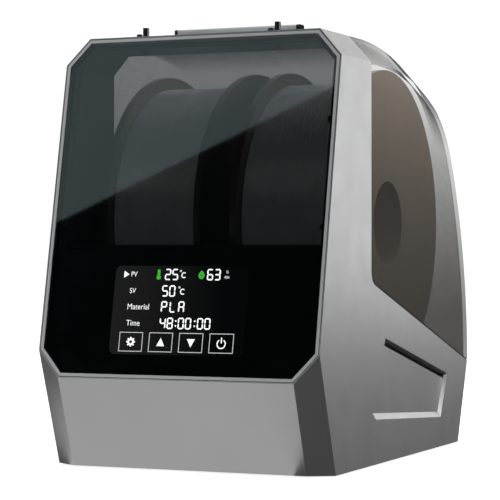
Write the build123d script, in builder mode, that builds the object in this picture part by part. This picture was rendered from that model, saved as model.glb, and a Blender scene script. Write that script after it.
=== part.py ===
from build123d import *
from math import atan, cos, hypot, radians, sin, sqrt, tan
import os

# Two-spool filament dryer box. Millimetres, +Z up, origin at the middle of the footprint
# on the surface that the box stands on. The control panel faces -Y, the lid opens at the back.

# ---------------------------------------------------------------- overall sizes
WIDTH = 187.0
DEPTH = 304.0
HEIGHT = 269.0
FOOT_STAND = 1.0

# ---------------------------------------------------------------- outer surface
PANEL_LEAN = 11.27
FRONT_KNEE_Z = 56.8
FRONT_FOOT_SETBACK = 20.3
REAR_KNEE_Z = 55.4
REAR_FOOT_SETBACK = 21.0
EDGE_CUT_X = 15.2
EDGE_CUT_Z = 16.8
ROOF_RADIUS = 285.0
ROOF_TURN = 21.85
SHOULDER_RADIUS = 100.5
SHOULDER_TURN = 39.85

# ---------------------------------------------------------------- walls, seam and gaps
WALL = 3.0
LID_WALL = 2.5
LINER_WALL = 1.8
LINER_STANDOFF = 2.4
SEAM_SETBACK = 90.9
SEAM_CORNER_Z = 115.5
SEAM_SLOPE = 16.54
SEAM_CORNER_RADIUS = 9.0
SEAM_GAP = 1.2
SEAL_CLEARANCE = 0.3
SEAL_INSET = 0.4
LOOSE_FIT = 0.2
RUNNING_FIT = 0.05
RIM_CLEARANCE = 0.1
DEEP = 20.0
CUT_OVERSHOOT = 1.0

# ---------------------------------------------------------------- front panel
BEZEL_LIP = 0.7
BEZEL_GROOVE = 0.4
BEZEL_FACE = 1.9
BEZEL_DEPTH = 5.6
LEDGE_WIDTH = 2.0
LEDGE_THICKNESS = 2.0
FLANGE_THICKNESS = 2.5
FLANGE_TUCK = 8.0
GLASS_RECESS = 0.6
MASK_THICKNESS = 0.2
MASK_TOP_Z = 136.0
MASK_BORDER = 0.8
DISPLAY_X = -2.0
DISPLAY_WIDTH = 89.8
DISPLAY_BOTTOM_Z = 72.4
DISPLAY_TOP_Z = 126.2
DISPLAY_CORNER_RADIUS = 4.0
MODULE_THICKNESS = 5.0
KEY_PITCH = 20.2
KEY_COUNT = 4
KEY_PAD_WIDTH = 15.0
KEY_PAD_HEIGHT = 10.0
KEY_ROW_Z = 80.0
KEY_BAND_TOP_Z = 87.9
BOARD_MARGIN = 3.0
BOARD_THICKNESS = 1.6
CLIP_SIZE = 3.0
CLIP_HEIGHT = 1.8
CLIP_HEIGHTS_Z = (90.0, 150.0, 215.0)

# ---------------------------------------------------------------- side recesses
RECESS_DEPTH = 2.2
RECESS_MOUTH = ((-35.8, 79.4), (89.2, 50.2), (74.9, 21.2), (-53.8, 29.2), (-60.0, 33.8))
RECESS_FLOOR = ((-36.4, 78.9), (87.6, 50.0), (74.4, 24.7), (-54.8, 33.1), (-59.4, 35.6))
RECESS_BACKING = 3.0
VENT_SLOT = ((-36.2, 78.6), (87.4, 49.8), (86.2, 47.0), (-37.6, 75.6))

# ---------------------------------------------------------------- spools and rollers
SPOOL_RADIUS = 100.0
SPOOL_WIDTH = 69.3
SPOOL_GAP = 20.4
SPOOL_FLANGE = 4.5
SPOOL_BORE_RADIUS = 27.25
SPOOL_TUBE_WALL = 2.5
SPOOL_DRUM_RADIUS = 50.0
SPOOL_DRUM_WALL = 3.0
SPOOL_RIBS = 6
WINDING_MARGIN = 8.0
SPOOL_Y = 7.4
SPOOL_Z = 152.9
ROLLER_RADIUS = 8.0
ROLLER_WIDTH = 8.0
ROLLER_SPREAD = 30.0
ROLLER_GAP = 0.3
AXLE_RADIUS = 2.0
AXLE_END = 1.0
MIDDLE_POST_WIDTH = 12.0
OUTER_POST_WIDTH = 3.0
POST_DEPTH = 12.0
CRADLE_THICKNESS = 2.0
POST_END_GAP = 0.9
ROLLER_CHAMFER = 0.8

# ---------------------------------------------------------------- chamber
FLOOR_BOTTOM_Z = 41.0
FLOOR_THICKNESS = 3.0
FRONT_WALL_SETBACK = 52.0
FRONT_WALL_THICKNESS = 2.4
SENSOR_WIDTH = 14.0
SENSOR_DEPTH = 6.0
SENSOR_HEIGHT = 22.0
SENSOR_Z = 108.0
SENSOR_VENT = 1.6
SENSOR_SLOTS = 5

# ---------------------------------------------------------------- air system
FAN_SIZE = 60.0
FAN_THICKNESS = 15.0
FAN_BORE_RADIUS = 28.5
FAN_HUB_RADIUS = 13.0
FAN_HOLE_PITCH = 50.0
FAN_HOLE_RADIUS = 2.2
FAN_SHAFT_RADIUS = 1.5
FAN_TIP_GAP = 0.8
FAN_WEB = 2.0
FAN_SPOKES = 3
FAN_HUB_WALL = 1.5
FAN_BEARING_RADIUS = 3.5
FAN_BEARING_HEIGHT = 8.0
FAN_CORNER_RADIUS = 4.0
FAN_WINDOW = 44.0
FAN_BLADES = 7
FAN_BLADE_PITCH = 38.0
FAN_BLADE_THICKNESS = 1.4
FAN_Y = 96.0
HEATER_Y = 8.0
HEATER_LENGTH = 56.0
HEATER_WIDTH = 60.0
HEATER_HEIGHT = 22.0
HEATER_FINS = 12
HEATER_FIN = 0.8
HEATER_BAR = 6.0
HEATER_BARS = 3
HEATER_FRAME = 2.0
DUCT_WALL = 2.0
DUCT_BOTTOM_Z = 8.0
GRILLE_SLOT = 3.0
GRILLE_PITCH = 6.0
GRILLE_MARGIN = 4.0
GRILLE_PLATE = 1.5

# ---------------------------------------------------------------- base
BASE_THICKNESS = 2.5
FOOT_RADIUS = 8.0
FOOT_X = 66.0
FOOT_Y = 104.0
FOOT_HEIGHT = 2.0
BOSS_RADIUS = 4.5
BOSS_SINK = 0.5
BOSS_FRONT_Y = -104.0
BOSS_REAR_Y = 102.0
SCREW_RADIUS = 1.3
SCREW_HEAD_RADIUS = 3.0
SCREW_HEAD_HEIGHT = 1.4
SCREW_LENGTH = 12.0
SCREW_SOCKET = 1.1
SCREW_SOCKET_SIDES = 6
DUCT_PAD = 40.0
VENT_ROW_Y = -90.0
BASE_VENTS = 12
BASE_VENT_LENGTH = 30.0

# ---------------------------------------------------------------- electronics
SUPPLY_X = 62.0
CONTROL_X = -62.0
ELECTRONICS_Y = 8.0
ELECTRONICS_WIDTH = 40.0
ELECTRONICS_LENGTH = 130.0
STANDOFF_HEIGHT = 4.0
STANDOFF_RADIUS = 2.5
STANDOFF_X_PITCH = 30.0
STANDOFF_Y_PITCH = 118.0
SUPPLY_BLOCKS = (
    (0.0, -38.0, 26.0, 24.0, 20.0),
    (-6.0, 2.0, 22.0, 26.0, 18.0),
    (10.0, 34.0, 14.0, 20.0, 15.0),
    (-12.0, 40.0, 10.0, 14.0, 12.0),
)
CONTROL_BLOCKS = (
    (0.0, -44.0, 16.0, 16.0, 3.0),
    (8.0, -10.0, 16.0, 20.0, 14.0),
    (-10.0, 20.0, 10.0, 12.0, 8.0),
    (6.0, 46.0, 22.0, 12.0, 10.0),
)
INLET_WIDTH = 30.0
INLET_HEIGHT = 22.0
INLET_SOCKET_WIDTH = 24.0
INLET_SOCKET_HEIGHT = 16.0
INLET_FLANGE = 2.0
INLET_FLANGE_MARGIN = 4.0
INLET_BODY_DEPTH = 22.0
INLET_SOCKET_DEPTH = 18.0
INLET_PIN_LENGTH = 11.0
INLET_X = 48.0
INLET_Z = 20.0
INLET_PIN_WIDTH = 2.0
INLET_PIN_HEIGHT = 4.0
INLET_PINS = ((-7.0, -1.5), (0.0, 2.5), (7.0, -1.5))

# ---------------------------------------------------------------- hinge
HINGE_SETBACK = 6.7
HINGE_HALF_DEPTH = 4.4
HINGE_TOP = 4.4
HINGE_AXIS_RISE = 4.9
HINGE_BAR_LENGTH = 83.0
HINGE_CAP_WIDTH = 2.0
HINGE_END_GAP = 0.2
HINGE_PIN_RADIUS = 1.5
HINGE_CORNER_RADIUS = 1.4
HINGE_FOOT_LENGTH = 11.0
HINGE_FOOT_WIDTH = 10.0
HINGE_FOOT_THICKNESS = 2.2
HINGE_LIFT = 0.4
HINGE_ARM_REACH = 17.0
HINGE_SCREW_X = 37.0
HINGE_SCREW_SETBACKS = (3.6, 8.6)
BAR_SCREW_X = 30.0
BAR_SCREW_REACH = 2.6
SMALL_SCREW_RADIUS = 0.9
SMALL_SCREW_HEAD_RADIUS = 1.7
SMALL_SCREW_HEAD_HEIGHT = 0.8

# ---------------------------------------------------------------- filament outlets
OUTLET_X = 45.2
OUTLET_SETBACK = 12.7
TUBE_RADIUS = 2.0
TUBE_BORE_RADIUS = 1.1
TUBE_RISE = 6.6
TUBE_BELOW = 11.0
TUBE_COLLAR_RADIUS = 4.0
TUBE_COLLAR_HEIGHT = 1.6
PLUG_STRAP_THICKNESS = 0.9
PLUG_STRAP_RADIUS = 3.4
PLUG_REACH = 4.6
PLUG_RADIUS = 1.9
PLUG_HEIGHT = 2.9

# ---------------------------------------------------------------- worked-out sizes
HALF_WIDTH = WIDTH / 2
FRONT_Y = -DEPTH / 2
REAR_Y = DEPTH / 2
LEAN = radians(PANEL_LEAN)
FRONT_TOP_Y = FRONT_Y + (HEIGHT - FRONT_KNEE_Z) * tan(LEAN)
PANEL_LENGTH = (HEIGHT - FRONT_KNEE_Z) / cos(LEAN)
BACK_TURN = 90.0 - ROOF_TURN - SHOULDER_TURN
BACK_START = radians(ROOF_TURN + SHOULDER_TURN)
ROOF_END = radians(ROOF_TURN)
BACK_RADIUS = (
    HEIGHT
    - REAR_KNEE_Z
    - ROOF_RADIUS * (1 - cos(ROOF_END))
    - SHOULDER_RADIUS * (cos(ROOF_END) - cos(BACK_START))
) / cos(BACK_START)
ROOF_START_Y = (
    REAR_Y
    - ROOF_RADIUS * sin(ROOF_END)
    - SHOULDER_RADIUS * (sin(BACK_START) - sin(ROOF_END))
    - BACK_RADIUS * (1 - sin(BACK_START))
)
SEAM_Y = FRONT_Y + SEAM_SETBACK
OUTLET_Y = FRONT_TOP_Y + OUTLET_SETBACK
BOSS_X = HALF_WIDTH - WALL - BOSS_RADIUS + BOSS_SINK
WINDING_RADIUS = SPOOL_RADIUS - WINDING_MARGIN
FLOOR_TOP_Z = FLOOR_BOTTOM_Z + FLOOR_THICKNESS
BASE_BOTTOM_Z = FOOT_HEIGHT
BASE_TOP_Z = BASE_BOTTOM_Z + BASE_THICKNESS
LINER_INSET = WALL + LINER_STANDOFF
CHAMBER_HALF_WIDTH = HALF_WIDTH - LINER_INSET - LINER_WALL
FRONT_WALL_Y = FRONT_Y + FRONT_WALL_SETBACK
SPOOL_INNER_X = SPOOL_GAP / 2
SPOOL_OUTER_X = SPOOL_INNER_X + SPOOL_WIDTH
ROLLER_ORBIT = SPOOL_RADIUS + ROLLER_RADIUS + ROLLER_GAP
ROLLER_OFFSET_Y = ROLLER_ORBIT * sin(radians(ROLLER_SPREAD))
ROLLER_Z = SPOOL_Z - ROLLER_ORBIT * cos(radians(ROLLER_SPREAD))
HINGE_Y = SEAM_Y + HINGE_SETBACK
HINGE_Z = HEIGHT + HINGE_AXIS_RISE
GLASS_INSET = BEZEL_LIP + BEZEL_GROOVE + BEZEL_FACE
GLASS_BACK = BEZEL_DEPTH - LEDGE_THICKNESS - MASK_THICKNESS
FAN_TOP_Z = FLOOR_BOTTOM_Z
FAN_BOTTOM_Z = FAN_TOP_Z - FAN_THICKNESS
LEDGE_INSET = GLASS_INSET + LEDGE_WIDTH
LINER_FRONT = BEZEL_DEPTH + FLANGE_THICKNESS + LOOSE_FIT
HINGE_SCREWS = [
    (side * HINGE_SCREW_X, SEAM_Y - SEAM_GAP / 2 - setback)
    for side in (-1, 1)
    for setback in HINGE_SCREW_SETBACKS
]
BAR_SCREWS = [(-BAR_SCREW_X, HINGE_Y), (0, HINGE_Y), (BAR_SCREW_X, HINGE_Y)]

PANEL_PLANE = Plane(
    origin=(0, FRONT_Y, FRONT_KNEE_Z), x_dir=(1, 0, 0), z_dir=(0, -cos(LEAN), sin(LEAN))
)
SIDE_PLANE = Plane.YZ
SPOOL_AXIS = Axis((0, SPOOL_Y, SPOOL_Z), (1, 0, 0))
SPOOL_PLANE = Plane(origin=(0, SPOOL_Y, SPOOL_Z), x_dir=(1, 0, 0), z_dir=(0, -1, 0))
SPOOL_SECTION = Plane(origin=(0, SPOOL_Y, SPOOL_Z), x_dir=(0, 1, 0), z_dir=(1, 0, 0))


def finish(builder, name):
    """Label one piece and write it as its own file."""
    builder.part.label = name
    export_step(builder.part, os.path.join("parts", name + ".step"))


def front_wall_y(z):
    """Outer face of the lower front wall at height z."""
    return FRONT_Y + FRONT_FOOT_SETBACK * (1 - z / FRONT_KNEE_Z)


def rear_wall_y(z):
    """Outer face of the lower rear wall at height z."""
    return REAR_Y - REAR_FOOT_SETBACK * (1 - z / REAR_KNEE_Z)


def panel_v(z):
    """Distance up the front panel from its bottom edge to height z."""
    return (z - FRONT_KNEE_Z) / cos(LEAN)


def lower_corner_plane(side, inset):
    """Plane of a lower front corner facet, moved inwards by inset, normal outwards."""
    slope = Vector(0, -FRONT_FOOT_SETBACK, FRONT_KNEE_Z).normalized()
    inward = Vector(0, FRONT_KNEE_Z, FRONT_FOOT_SETBACK).normalized()
    facet_angle = LEAN + atan(FRONT_FOOT_SETBACK / FRONT_KNEE_Z)
    facet_depth = EDGE_CUT_Z / cos(LEAN) * sin(facet_angle)
    across = Vector(side * EDGE_CUT_X, 0, 0) + inward * facet_depth
    corner = Vector(side * (HALF_WIDTH - EDGE_CUT_X), FRONT_Y, FRONT_KNEE_Z)
    normal = across.cross(slope).normalized()
    if normal.X * side < 0:
        normal = normal * -1
    return Plane(origin=corner - normal * inset, z_dir=normal)


def inset_cut(leg_a, leg_b, inset):
    """Legs of a corner cut after both its faces and the cut itself move inwards by inset."""
    slant = hypot(leg_a, leg_b)
    return (
        leg_a - inset * (1 + (leg_a - slant) / leg_b),
        leg_b - inset * (1 + (leg_b - slant) / leg_a),
    )


def body_form(inset, foot_z=0.0):
    """Closed solid inside the outer surface moved inwards by inset, down to foot_z + inset."""
    cut_x, cut_z = inset_cut(EDGE_CUT_X, EDGE_CUT_Z, inset)
    with BuildPart() as form:
        with BuildSketch(SIDE_PLANE):
            with BuildLine():
                roof = Line((FRONT_TOP_Y, HEIGHT), (ROOF_START_Y, HEIGHT))
                brow = JernArc(roof @ 1, roof % 1, ROOF_RADIUS, -ROOF_TURN)
                shoulder = JernArc(brow @ 1, brow % 1, SHOULDER_RADIUS, -SHOULDER_TURN)
                back = JernArc(shoulder @ 1, shoulder % 1, BACK_RADIUS, -BACK_TURN)
                Polyline(
                    back @ 1,
                    (rear_wall_y(foot_z), foot_z),
                    (front_wall_y(foot_z), foot_z),
                    (FRONT_Y, FRONT_KNEE_Z),
                    (FRONT_TOP_Y, HEIGHT),
                )
            make_face()
            if inset > 0:
                offset(amount=-inset, kind=Kind.INTERSECTION)
        extrude(amount=HALF_WIDTH - inset, both=True)
        for side in (-1, 1):
            outwards = Axis((0, 0, 0), (side, 0, 0))
            flank = form.faces().filter_by(Axis.X).sort_by(outwards)[-1]
            rim = flank.edges().filter_by(
                lambda edge: edge.center().Y > FRONT_TOP_Y
                and edge.center().Z > foot_z + inset + BASE_THICKNESS
            )
            chamfer(rim, length=cut_z, length2=cut_x, reference=flank)
        for side in (-1, 1):
            split(bisect_by=lower_corner_plane(side, inset), keep=Keep.BOTTOM)
    return form.part


def octagon(inset):
    """Corners of the front panel moved inwards by inset, in the panel's own plane."""
    cut_x, cut_v = inset_cut(EDGE_CUT_X, EDGE_CUT_Z / cos(LEAN), inset)
    half = HALF_WIDTH - inset
    top = PANEL_LENGTH - inset
    right = [
        (half - cut_x, inset),
        (half, inset + cut_v),
        (half, top - cut_v),
        (half - cut_x, top),
    ]
    return right + [(-x, v) for x, v in reversed(right)]


def panel_slab(front, back, inset):
    """Octagonal slab between two depths behind the front panel's face."""
    with BuildPart() as slab:
        with BuildSketch(PANEL_PLANE.offset(-back)):
            Polygon(*octagon(inset), align=None)
        extrude(amount=back - front)
    return slab.part


def level_slab(bottom, top):
    """Slab across the whole footprint between two heights."""
    with BuildPart() as slab:
        with BuildSketch(Plane.XY.offset(bottom)):
            Rectangle(2 * WIDTH, 2 * DEPTH)
        extrude(amount=top - bottom)
    return slab.part


def lid_zone(growth):
    """Space above and behind the seam, with its boundary moved outwards by growth."""
    far_y = 2 * DEPTH
    far_z = 2 * HEIGHT
    end_z = SEAM_CORNER_Z - (far_y - SEAM_Y) * tan(radians(SEAM_SLOPE))
    with BuildPart() as zone:
        with BuildSketch(SIDE_PLANE):
            with BuildLine():
                FilletPolyline(
                    (SEAM_Y, far_z),
                    (SEAM_Y, SEAM_CORNER_Z),
                    (far_y, end_z),
                    radius=SEAM_CORNER_RADIUS,
                )
                Polyline((far_y, end_z), (far_y, far_z), (SEAM_Y, far_z))
            make_face()
            offset(amount=growth, kind=Kind.INTERSECTION)
        extrude(amount=WIDTH, both=True)
    return zone.part


def side_prism(corners, near_x, far_x):
    """Prism over corners given as (y, z), between two distances from the middle plane."""
    with BuildPart() as prism:
        with BuildSketch(SIDE_PLANE.offset(near_x)):
            Polygon(*corners, align=None)
        extrude(amount=far_x - near_x)
    return prism.part


def both_sides(right_part):
    """A right-hand piece of a symmetric shape together with its mirror image."""
    with BuildPart() as pair:
        add(right_part)
        mirror(right_part, about=Plane.YZ)
    return pair.part


os.makedirs("parts", exist_ok=True)

# ---------------------------------------------------------------- shared shapes
outer_form = body_form(0.0)
cavity_form = body_form(WALL, foot_z=-DEEP)
lid_cavity = body_form(LID_WALL, foot_z=-DEEP)
liner_form = body_form(LINER_INSET)
chamber_form = body_form(LINER_INSET + LINER_WALL, foot_z=-DEEP)
rim_form = body_form(WALL + RIM_CLEARANCE, foot_z=-DEEP)
seal_form = body_form(SEAL_INSET)
base_form = body_form(WALL + LOOSE_FIT, foot_z=-DEEP)
lid_space = lid_zone(-SEAM_GAP / 2)
casing_limit = lid_zone(SEAM_GAP / 2)

# ---------------------------------------------------------------- outer casing
with BuildPart() as recess_mouth:
    with BuildSketch(SIDE_PLANE.offset(HALF_WIDTH)):
        Polygon(*RECESS_MOUTH, align=None)
    with BuildSketch(SIDE_PLANE.offset(HALF_WIDTH - RECESS_DEPTH)):
        Polygon(*RECESS_FLOOR, align=None)
    loft(ruled=True)
recess_cut = both_sides(recess_mouth.part)
vent_cut = both_sides(side_prism(VENT_SLOT, HALF_WIDTH - 2 * LINER_INSET, HALF_WIDTH))
with BuildPart() as recess_pad:
    with BuildSketch(SIDE_PLANE.offset(HALF_WIDTH - WALL - RECESS_DEPTH)):
        Polygon(*RECESS_MOUTH, align=None)
        offset(amount=RECESS_BACKING, kind=Kind.INTERSECTION)
    extrude(amount=WALL)
recess_backing = both_sides(recess_pad.part)

with BuildPart() as front_flange:
    with BuildSketch(PANEL_PLANE.offset(-BEZEL_DEPTH - FLANGE_THICKNESS)):
        Polygon(*octagon(BEZEL_LIP), align=None)
        with Locations((0, -FLANGE_TUCK / 2)):
            Rectangle(WIDTH - 2 * EDGE_CUT_X, FLANGE_TUCK + 2 * BEZEL_LIP)
        Polygon(*octagon(LEDGE_INSET), align=None, mode=Mode.SUBTRACT)
    extrude(amount=FLANGE_THICKNESS)
    add(outer_form, mode=Mode.INTERSECT)

inlet_y = rear_wall_y(INLET_Z)
INLET_PLANE = Plane(
    origin=(INLET_X, inlet_y, INLET_Z),
    x_dir=(1, 0, 0),
    z_dir=(0, REAR_KNEE_Z, -REAR_FOOT_SETBACK),
)
with BuildPart() as outer_casing:
    add(outer_form)
    add(cavity_form, mode=Mode.SUBTRACT)
    add(recess_backing)
    with BuildSketch(Plane.XY.offset(BASE_TOP_Z)):
        for boss_y in (BOSS_FRONT_Y, BOSS_REAR_Y):
            with Locations((-BOSS_X, boss_y), (BOSS_X, boss_y)):
                Circle(BOSS_RADIUS)
    extrude(amount=FLOOR_BOTTOM_Z - BASE_TOP_Z)
    add(panel_slab(-CUT_OVERSHOOT, BEZEL_DEPTH, BEZEL_LIP), mode=Mode.SUBTRACT)
    add(front_flange.part)
    add(recess_cut, mode=Mode.SUBTRACT)
    add(vent_cut, mode=Mode.SUBTRACT)
    add(casing_limit, mode=Mode.SUBTRACT)
    add(level_slab(-DEEP, FOOT_STAND), mode=Mode.SUBTRACT)
    with BuildSketch(Plane.XY.offset(BASE_TOP_Z)):
        for boss_y in (BOSS_FRONT_Y, BOSS_REAR_Y):
            with Locations((-BOSS_X, boss_y), (BOSS_X, boss_y)):
                Circle(SCREW_RADIUS)
    extrude(amount=SCREW_LENGTH, mode=Mode.SUBTRACT)
    with BuildSketch(Plane.XY.offset(HEIGHT)):
        with Locations((-OUTLET_X, OUTLET_Y), (OUTLET_X, OUTLET_Y)):
            Circle(TUBE_RADIUS + RUNNING_FIT)
        with Locations(*HINGE_SCREWS):
            Circle(SMALL_SCREW_RADIUS)
    extrude(amount=-2 * WALL, mode=Mode.SUBTRACT)
    with BuildSketch(INLET_PLANE):
        Rectangle(INLET_WIDTH + 2 * LOOSE_FIT, INLET_HEIGHT + 2 * LOOSE_FIT)
    extrude(amount=-3 * WALL, mode=Mode.SUBTRACT)
finish(outer_casing, "outer_casing")

# ---------------------------------------------------------------- front panel group
with BuildPart() as front_bezel:
    add(panel_slab(0.0, BEZEL_DEPTH, BEZEL_LIP + BEZEL_GROOVE))
    add(panel_slab(-CUT_OVERSHOOT, BEZEL_DEPTH - LEDGE_THICKNESS, GLASS_INSET), mode=Mode.SUBTRACT)
    add(panel_slab(-CUT_OVERSHOOT, BEZEL_DEPTH + CUT_OVERSHOOT, LEDGE_INSET), mode=Mode.SUBTRACT)
finish(front_bezel, "front_bezel")

with BuildPart() as front_panel:
    add(panel_slab(GLASS_RECESS, GLASS_BACK, GLASS_INSET + RUNNING_FIT))
finish(front_panel, "front_panel")

display_v = (panel_v(DISPLAY_BOTTOM_Z) + panel_v(DISPLAY_TOP_Z)) / 2
display_height = panel_v(DISPLAY_TOP_Z) - panel_v(DISPLAY_BOTTOM_Z)
with BuildPart() as panel_mask:
    add(panel_slab(GLASS_BACK, GLASS_BACK + MASK_THICKNESS, GLASS_INSET + LOOSE_FIT))
    with BuildSketch(PANEL_PLANE.offset(-GLASS_BACK)):
        Polygon(*octagon(LEDGE_INSET + MASK_BORDER), align=None)
        with Locations((0, panel_v(MASK_TOP_Z) - PANEL_LENGTH / 2)):
            Rectangle(WIDTH, PANEL_LENGTH, mode=Mode.SUBTRACT)
        with Locations((DISPLAY_X, display_v)):
            RectangleRounded(DISPLAY_WIDTH, display_height, DISPLAY_CORNER_RADIUS)
    extrude(amount=-MASK_THICKNESS, mode=Mode.SUBTRACT)
finish(panel_mask, "panel_mask")

module_front = GLASS_BACK + MASK_THICKNESS
module_back = module_front + MODULE_THICKNESS
module_bottom = panel_v(KEY_BAND_TOP_Z)
module_top = panel_v(DISPLAY_TOP_Z) + BOARD_MARGIN
with BuildPart() as display_module:
    with BuildSketch(PANEL_PLANE.offset(-module_front)):
        with Locations((DISPLAY_X, (module_bottom + module_top) / 2)):
            Rectangle(DISPLAY_WIDTH + BOARD_MARGIN, module_top - module_bottom)
    extrude(amount=-MODULE_THICKNESS)
finish(display_module, "display_module")

with BuildPart() as touch_key_pads:
    with BuildSketch(PANEL_PLANE.offset(-module_front)):
        with Locations((DISPLAY_X, panel_v(KEY_ROW_Z))):
            with GridLocations(KEY_PITCH, 1, KEY_COUNT, 1):
                Rectangle(KEY_PAD_WIDTH, KEY_PAD_HEIGHT)
    extrude(amount=-MODULE_THICKNESS)
finish(touch_key_pads, "touch_key_pads")

board_bottom = panel_v(KEY_ROW_Z) - KEY_PAD_HEIGHT / 2 - BOARD_MARGIN
with BuildPart() as display_board:
    with BuildSketch(PANEL_PLANE.offset(-module_back)):
        with Locations((DISPLAY_X, (board_bottom + module_top) / 2)):
            RectangleRounded(DISPLAY_WIDTH + 2 * BOARD_MARGIN, module_top - board_bottom, BOARD_MARGIN)
    extrude(amount=-BOARD_THICKNESS)
finish(display_board, "display_board")

with BuildPart() as panel_clips:
    with BuildSketch(PANEL_PLANE.offset(-BEZEL_DEPTH - FLANGE_THICKNESS)):
        for clip_z in CLIP_HEIGHTS_Z:
            for side in (-1, 1):
                clip_x = side * (HALF_WIDTH - LEDGE_INSET - CLIP_SIZE / 2)
                with Locations((clip_x, panel_v(clip_z))):
                    Rectangle(CLIP_SIZE, CLIP_SIZE)
    extrude(amount=FLANGE_THICKNESS + CLIP_HEIGHT / 2)
finish(panel_clips, "panel_clips")

# ---------------------------------------------------------------- drying chamber
with BuildPart() as chamber_liner:
    add(liner_form)
    add(chamber_form, mode=Mode.SUBTRACT)
    add(lid_zone(SEAM_GAP / 2 + LOOSE_FIT), mode=Mode.SUBTRACT)
    split(bisect_by=PANEL_PLANE.offset(-LINER_FRONT), keep=Keep.BOTTOM)
    add(level_slab(-DEEP, FLOOR_TOP_Z), mode=Mode.SUBTRACT)
    with BuildSketch(Plane.XY.offset(HEIGHT)):
        with Locations((-OUTLET_X, OUTLET_Y), (OUTLET_X, OUTLET_Y)):
            Circle(TUBE_RADIUS + LOOSE_FIT)
    extrude(amount=-LINER_INSET - 2 * LINER_WALL, mode=Mode.SUBTRACT)

with BuildPart() as liner_rim:
    add(rim_form)
    add(chamber_form, mode=Mode.SUBTRACT)
    add(lid_zone(SEAM_GAP / 2 + LOOSE_FIT + LINER_WALL), mode=Mode.INTERSECT)
    add(lid_zone(SEAM_GAP / 2 + LOOSE_FIT), mode=Mode.SUBTRACT)

with BuildPart() as liner:
    add(chamber_liner.part)
    add(liner_rim.part)
finish(liner, "chamber_liner")

with BuildPart() as chamber_floor:
    add(liner_form)
    add(level_slab(FLOOR_BOTTOM_Z, FLOOR_TOP_Z), mode=Mode.INTERSECT)
    with BuildSketch(Plane.XY.offset(FLOOR_BOTTOM_Z)):
        with Locations((0, FRONT_Y)):
            Rectangle(2 * WIDTH, 2 * FRONT_WALL_SETBACK)
        with Locations((0, FAN_Y)):
            Rectangle(FAN_WINDOW, FAN_WINDOW)
        with Locations((0, HEATER_Y)):
            Rectangle(HEATER_WIDTH - 2 * GRILLE_MARGIN, HEATER_LENGTH - 2 * GRILLE_MARGIN)
    extrude(amount=FLOOR_THICKNESS, mode=Mode.SUBTRACT)
finish(chamber_floor, "chamber_floor")

shelf_top_z = MASK_TOP_Z + FRONT_WALL_THICKNESS
shelf_front_y = FRONT_Y + panel_v(shelf_top_z) * sin(LEAN) + LINER_FRONT / cos(LEAN)
with BuildPart() as chamber_front_wall:
    with BuildSketch(SIDE_PLANE):
        with BuildLine():
            Polyline(
                (FRONT_WALL_Y, FLOOR_TOP_Z),
                (FRONT_WALL_Y + FRONT_WALL_THICKNESS, FLOOR_TOP_Z),
                (FRONT_WALL_Y + FRONT_WALL_THICKNESS, shelf_top_z),
                (shelf_front_y, shelf_top_z),
                (shelf_front_y, MASK_TOP_Z),
                (FRONT_WALL_Y, MASK_TOP_Z),
                close=True,
            )
        make_face()
    extrude(amount=CHAMBER_HALF_WIDTH - LOOSE_FIT, both=True)
finish(chamber_front_wall, "chamber_front_wall")

sensor_y = FRONT_WALL_Y + FRONT_WALL_THICKNESS
with BuildPart() as humidity_sensor:
    with BuildSketch(Plane.XZ.offset(-sensor_y)):
        with Locations((0, SENSOR_Z)):
            RectangleRounded(SENSOR_WIDTH, SENSOR_HEIGHT, SENSOR_VENT)
    extrude(amount=-SENSOR_DEPTH)
    with BuildSketch(Plane.XZ.offset(-sensor_y - SENSOR_DEPTH)):
        with Locations((0, SENSOR_Z)):
            with GridLocations(1, 2 * SENSOR_VENT, 1, SENSOR_SLOTS):
                Rectangle(SENSOR_WIDTH - 4 * SENSOR_VENT, SENSOR_VENT)
    extrude(amount=SENSOR_DEPTH / 2, mode=Mode.SUBTRACT)
finish(humidity_sensor, "humidity_sensor")

for grille_name, grille_y, grille_x_size, grille_y_size in (
    ("intake_grille", FAN_Y, FAN_WINDOW, FAN_WINDOW),
    ("outlet_grille", HEATER_Y, HEATER_WIDTH - 2 * GRILLE_MARGIN, HEATER_LENGTH - 2 * GRILLE_MARGIN),
):
    with BuildPart() as grille:
        with BuildSketch(Plane.XY.offset(FLOOR_TOP_Z)):
            with Locations((0, grille_y)):
                Rectangle(grille_x_size + 2 * GRILLE_MARGIN, grille_y_size + 2 * GRILLE_MARGIN)
                with GridLocations(1, GRILLE_PITCH, 1, int(grille_y_size / GRILLE_PITCH)):
                    SlotOverall(grille_x_size - GRILLE_SLOT, GRILLE_SLOT, mode=Mode.SUBTRACT)
        extrude(amount=GRILLE_PLATE)
    finish(grille, grille_name)

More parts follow.
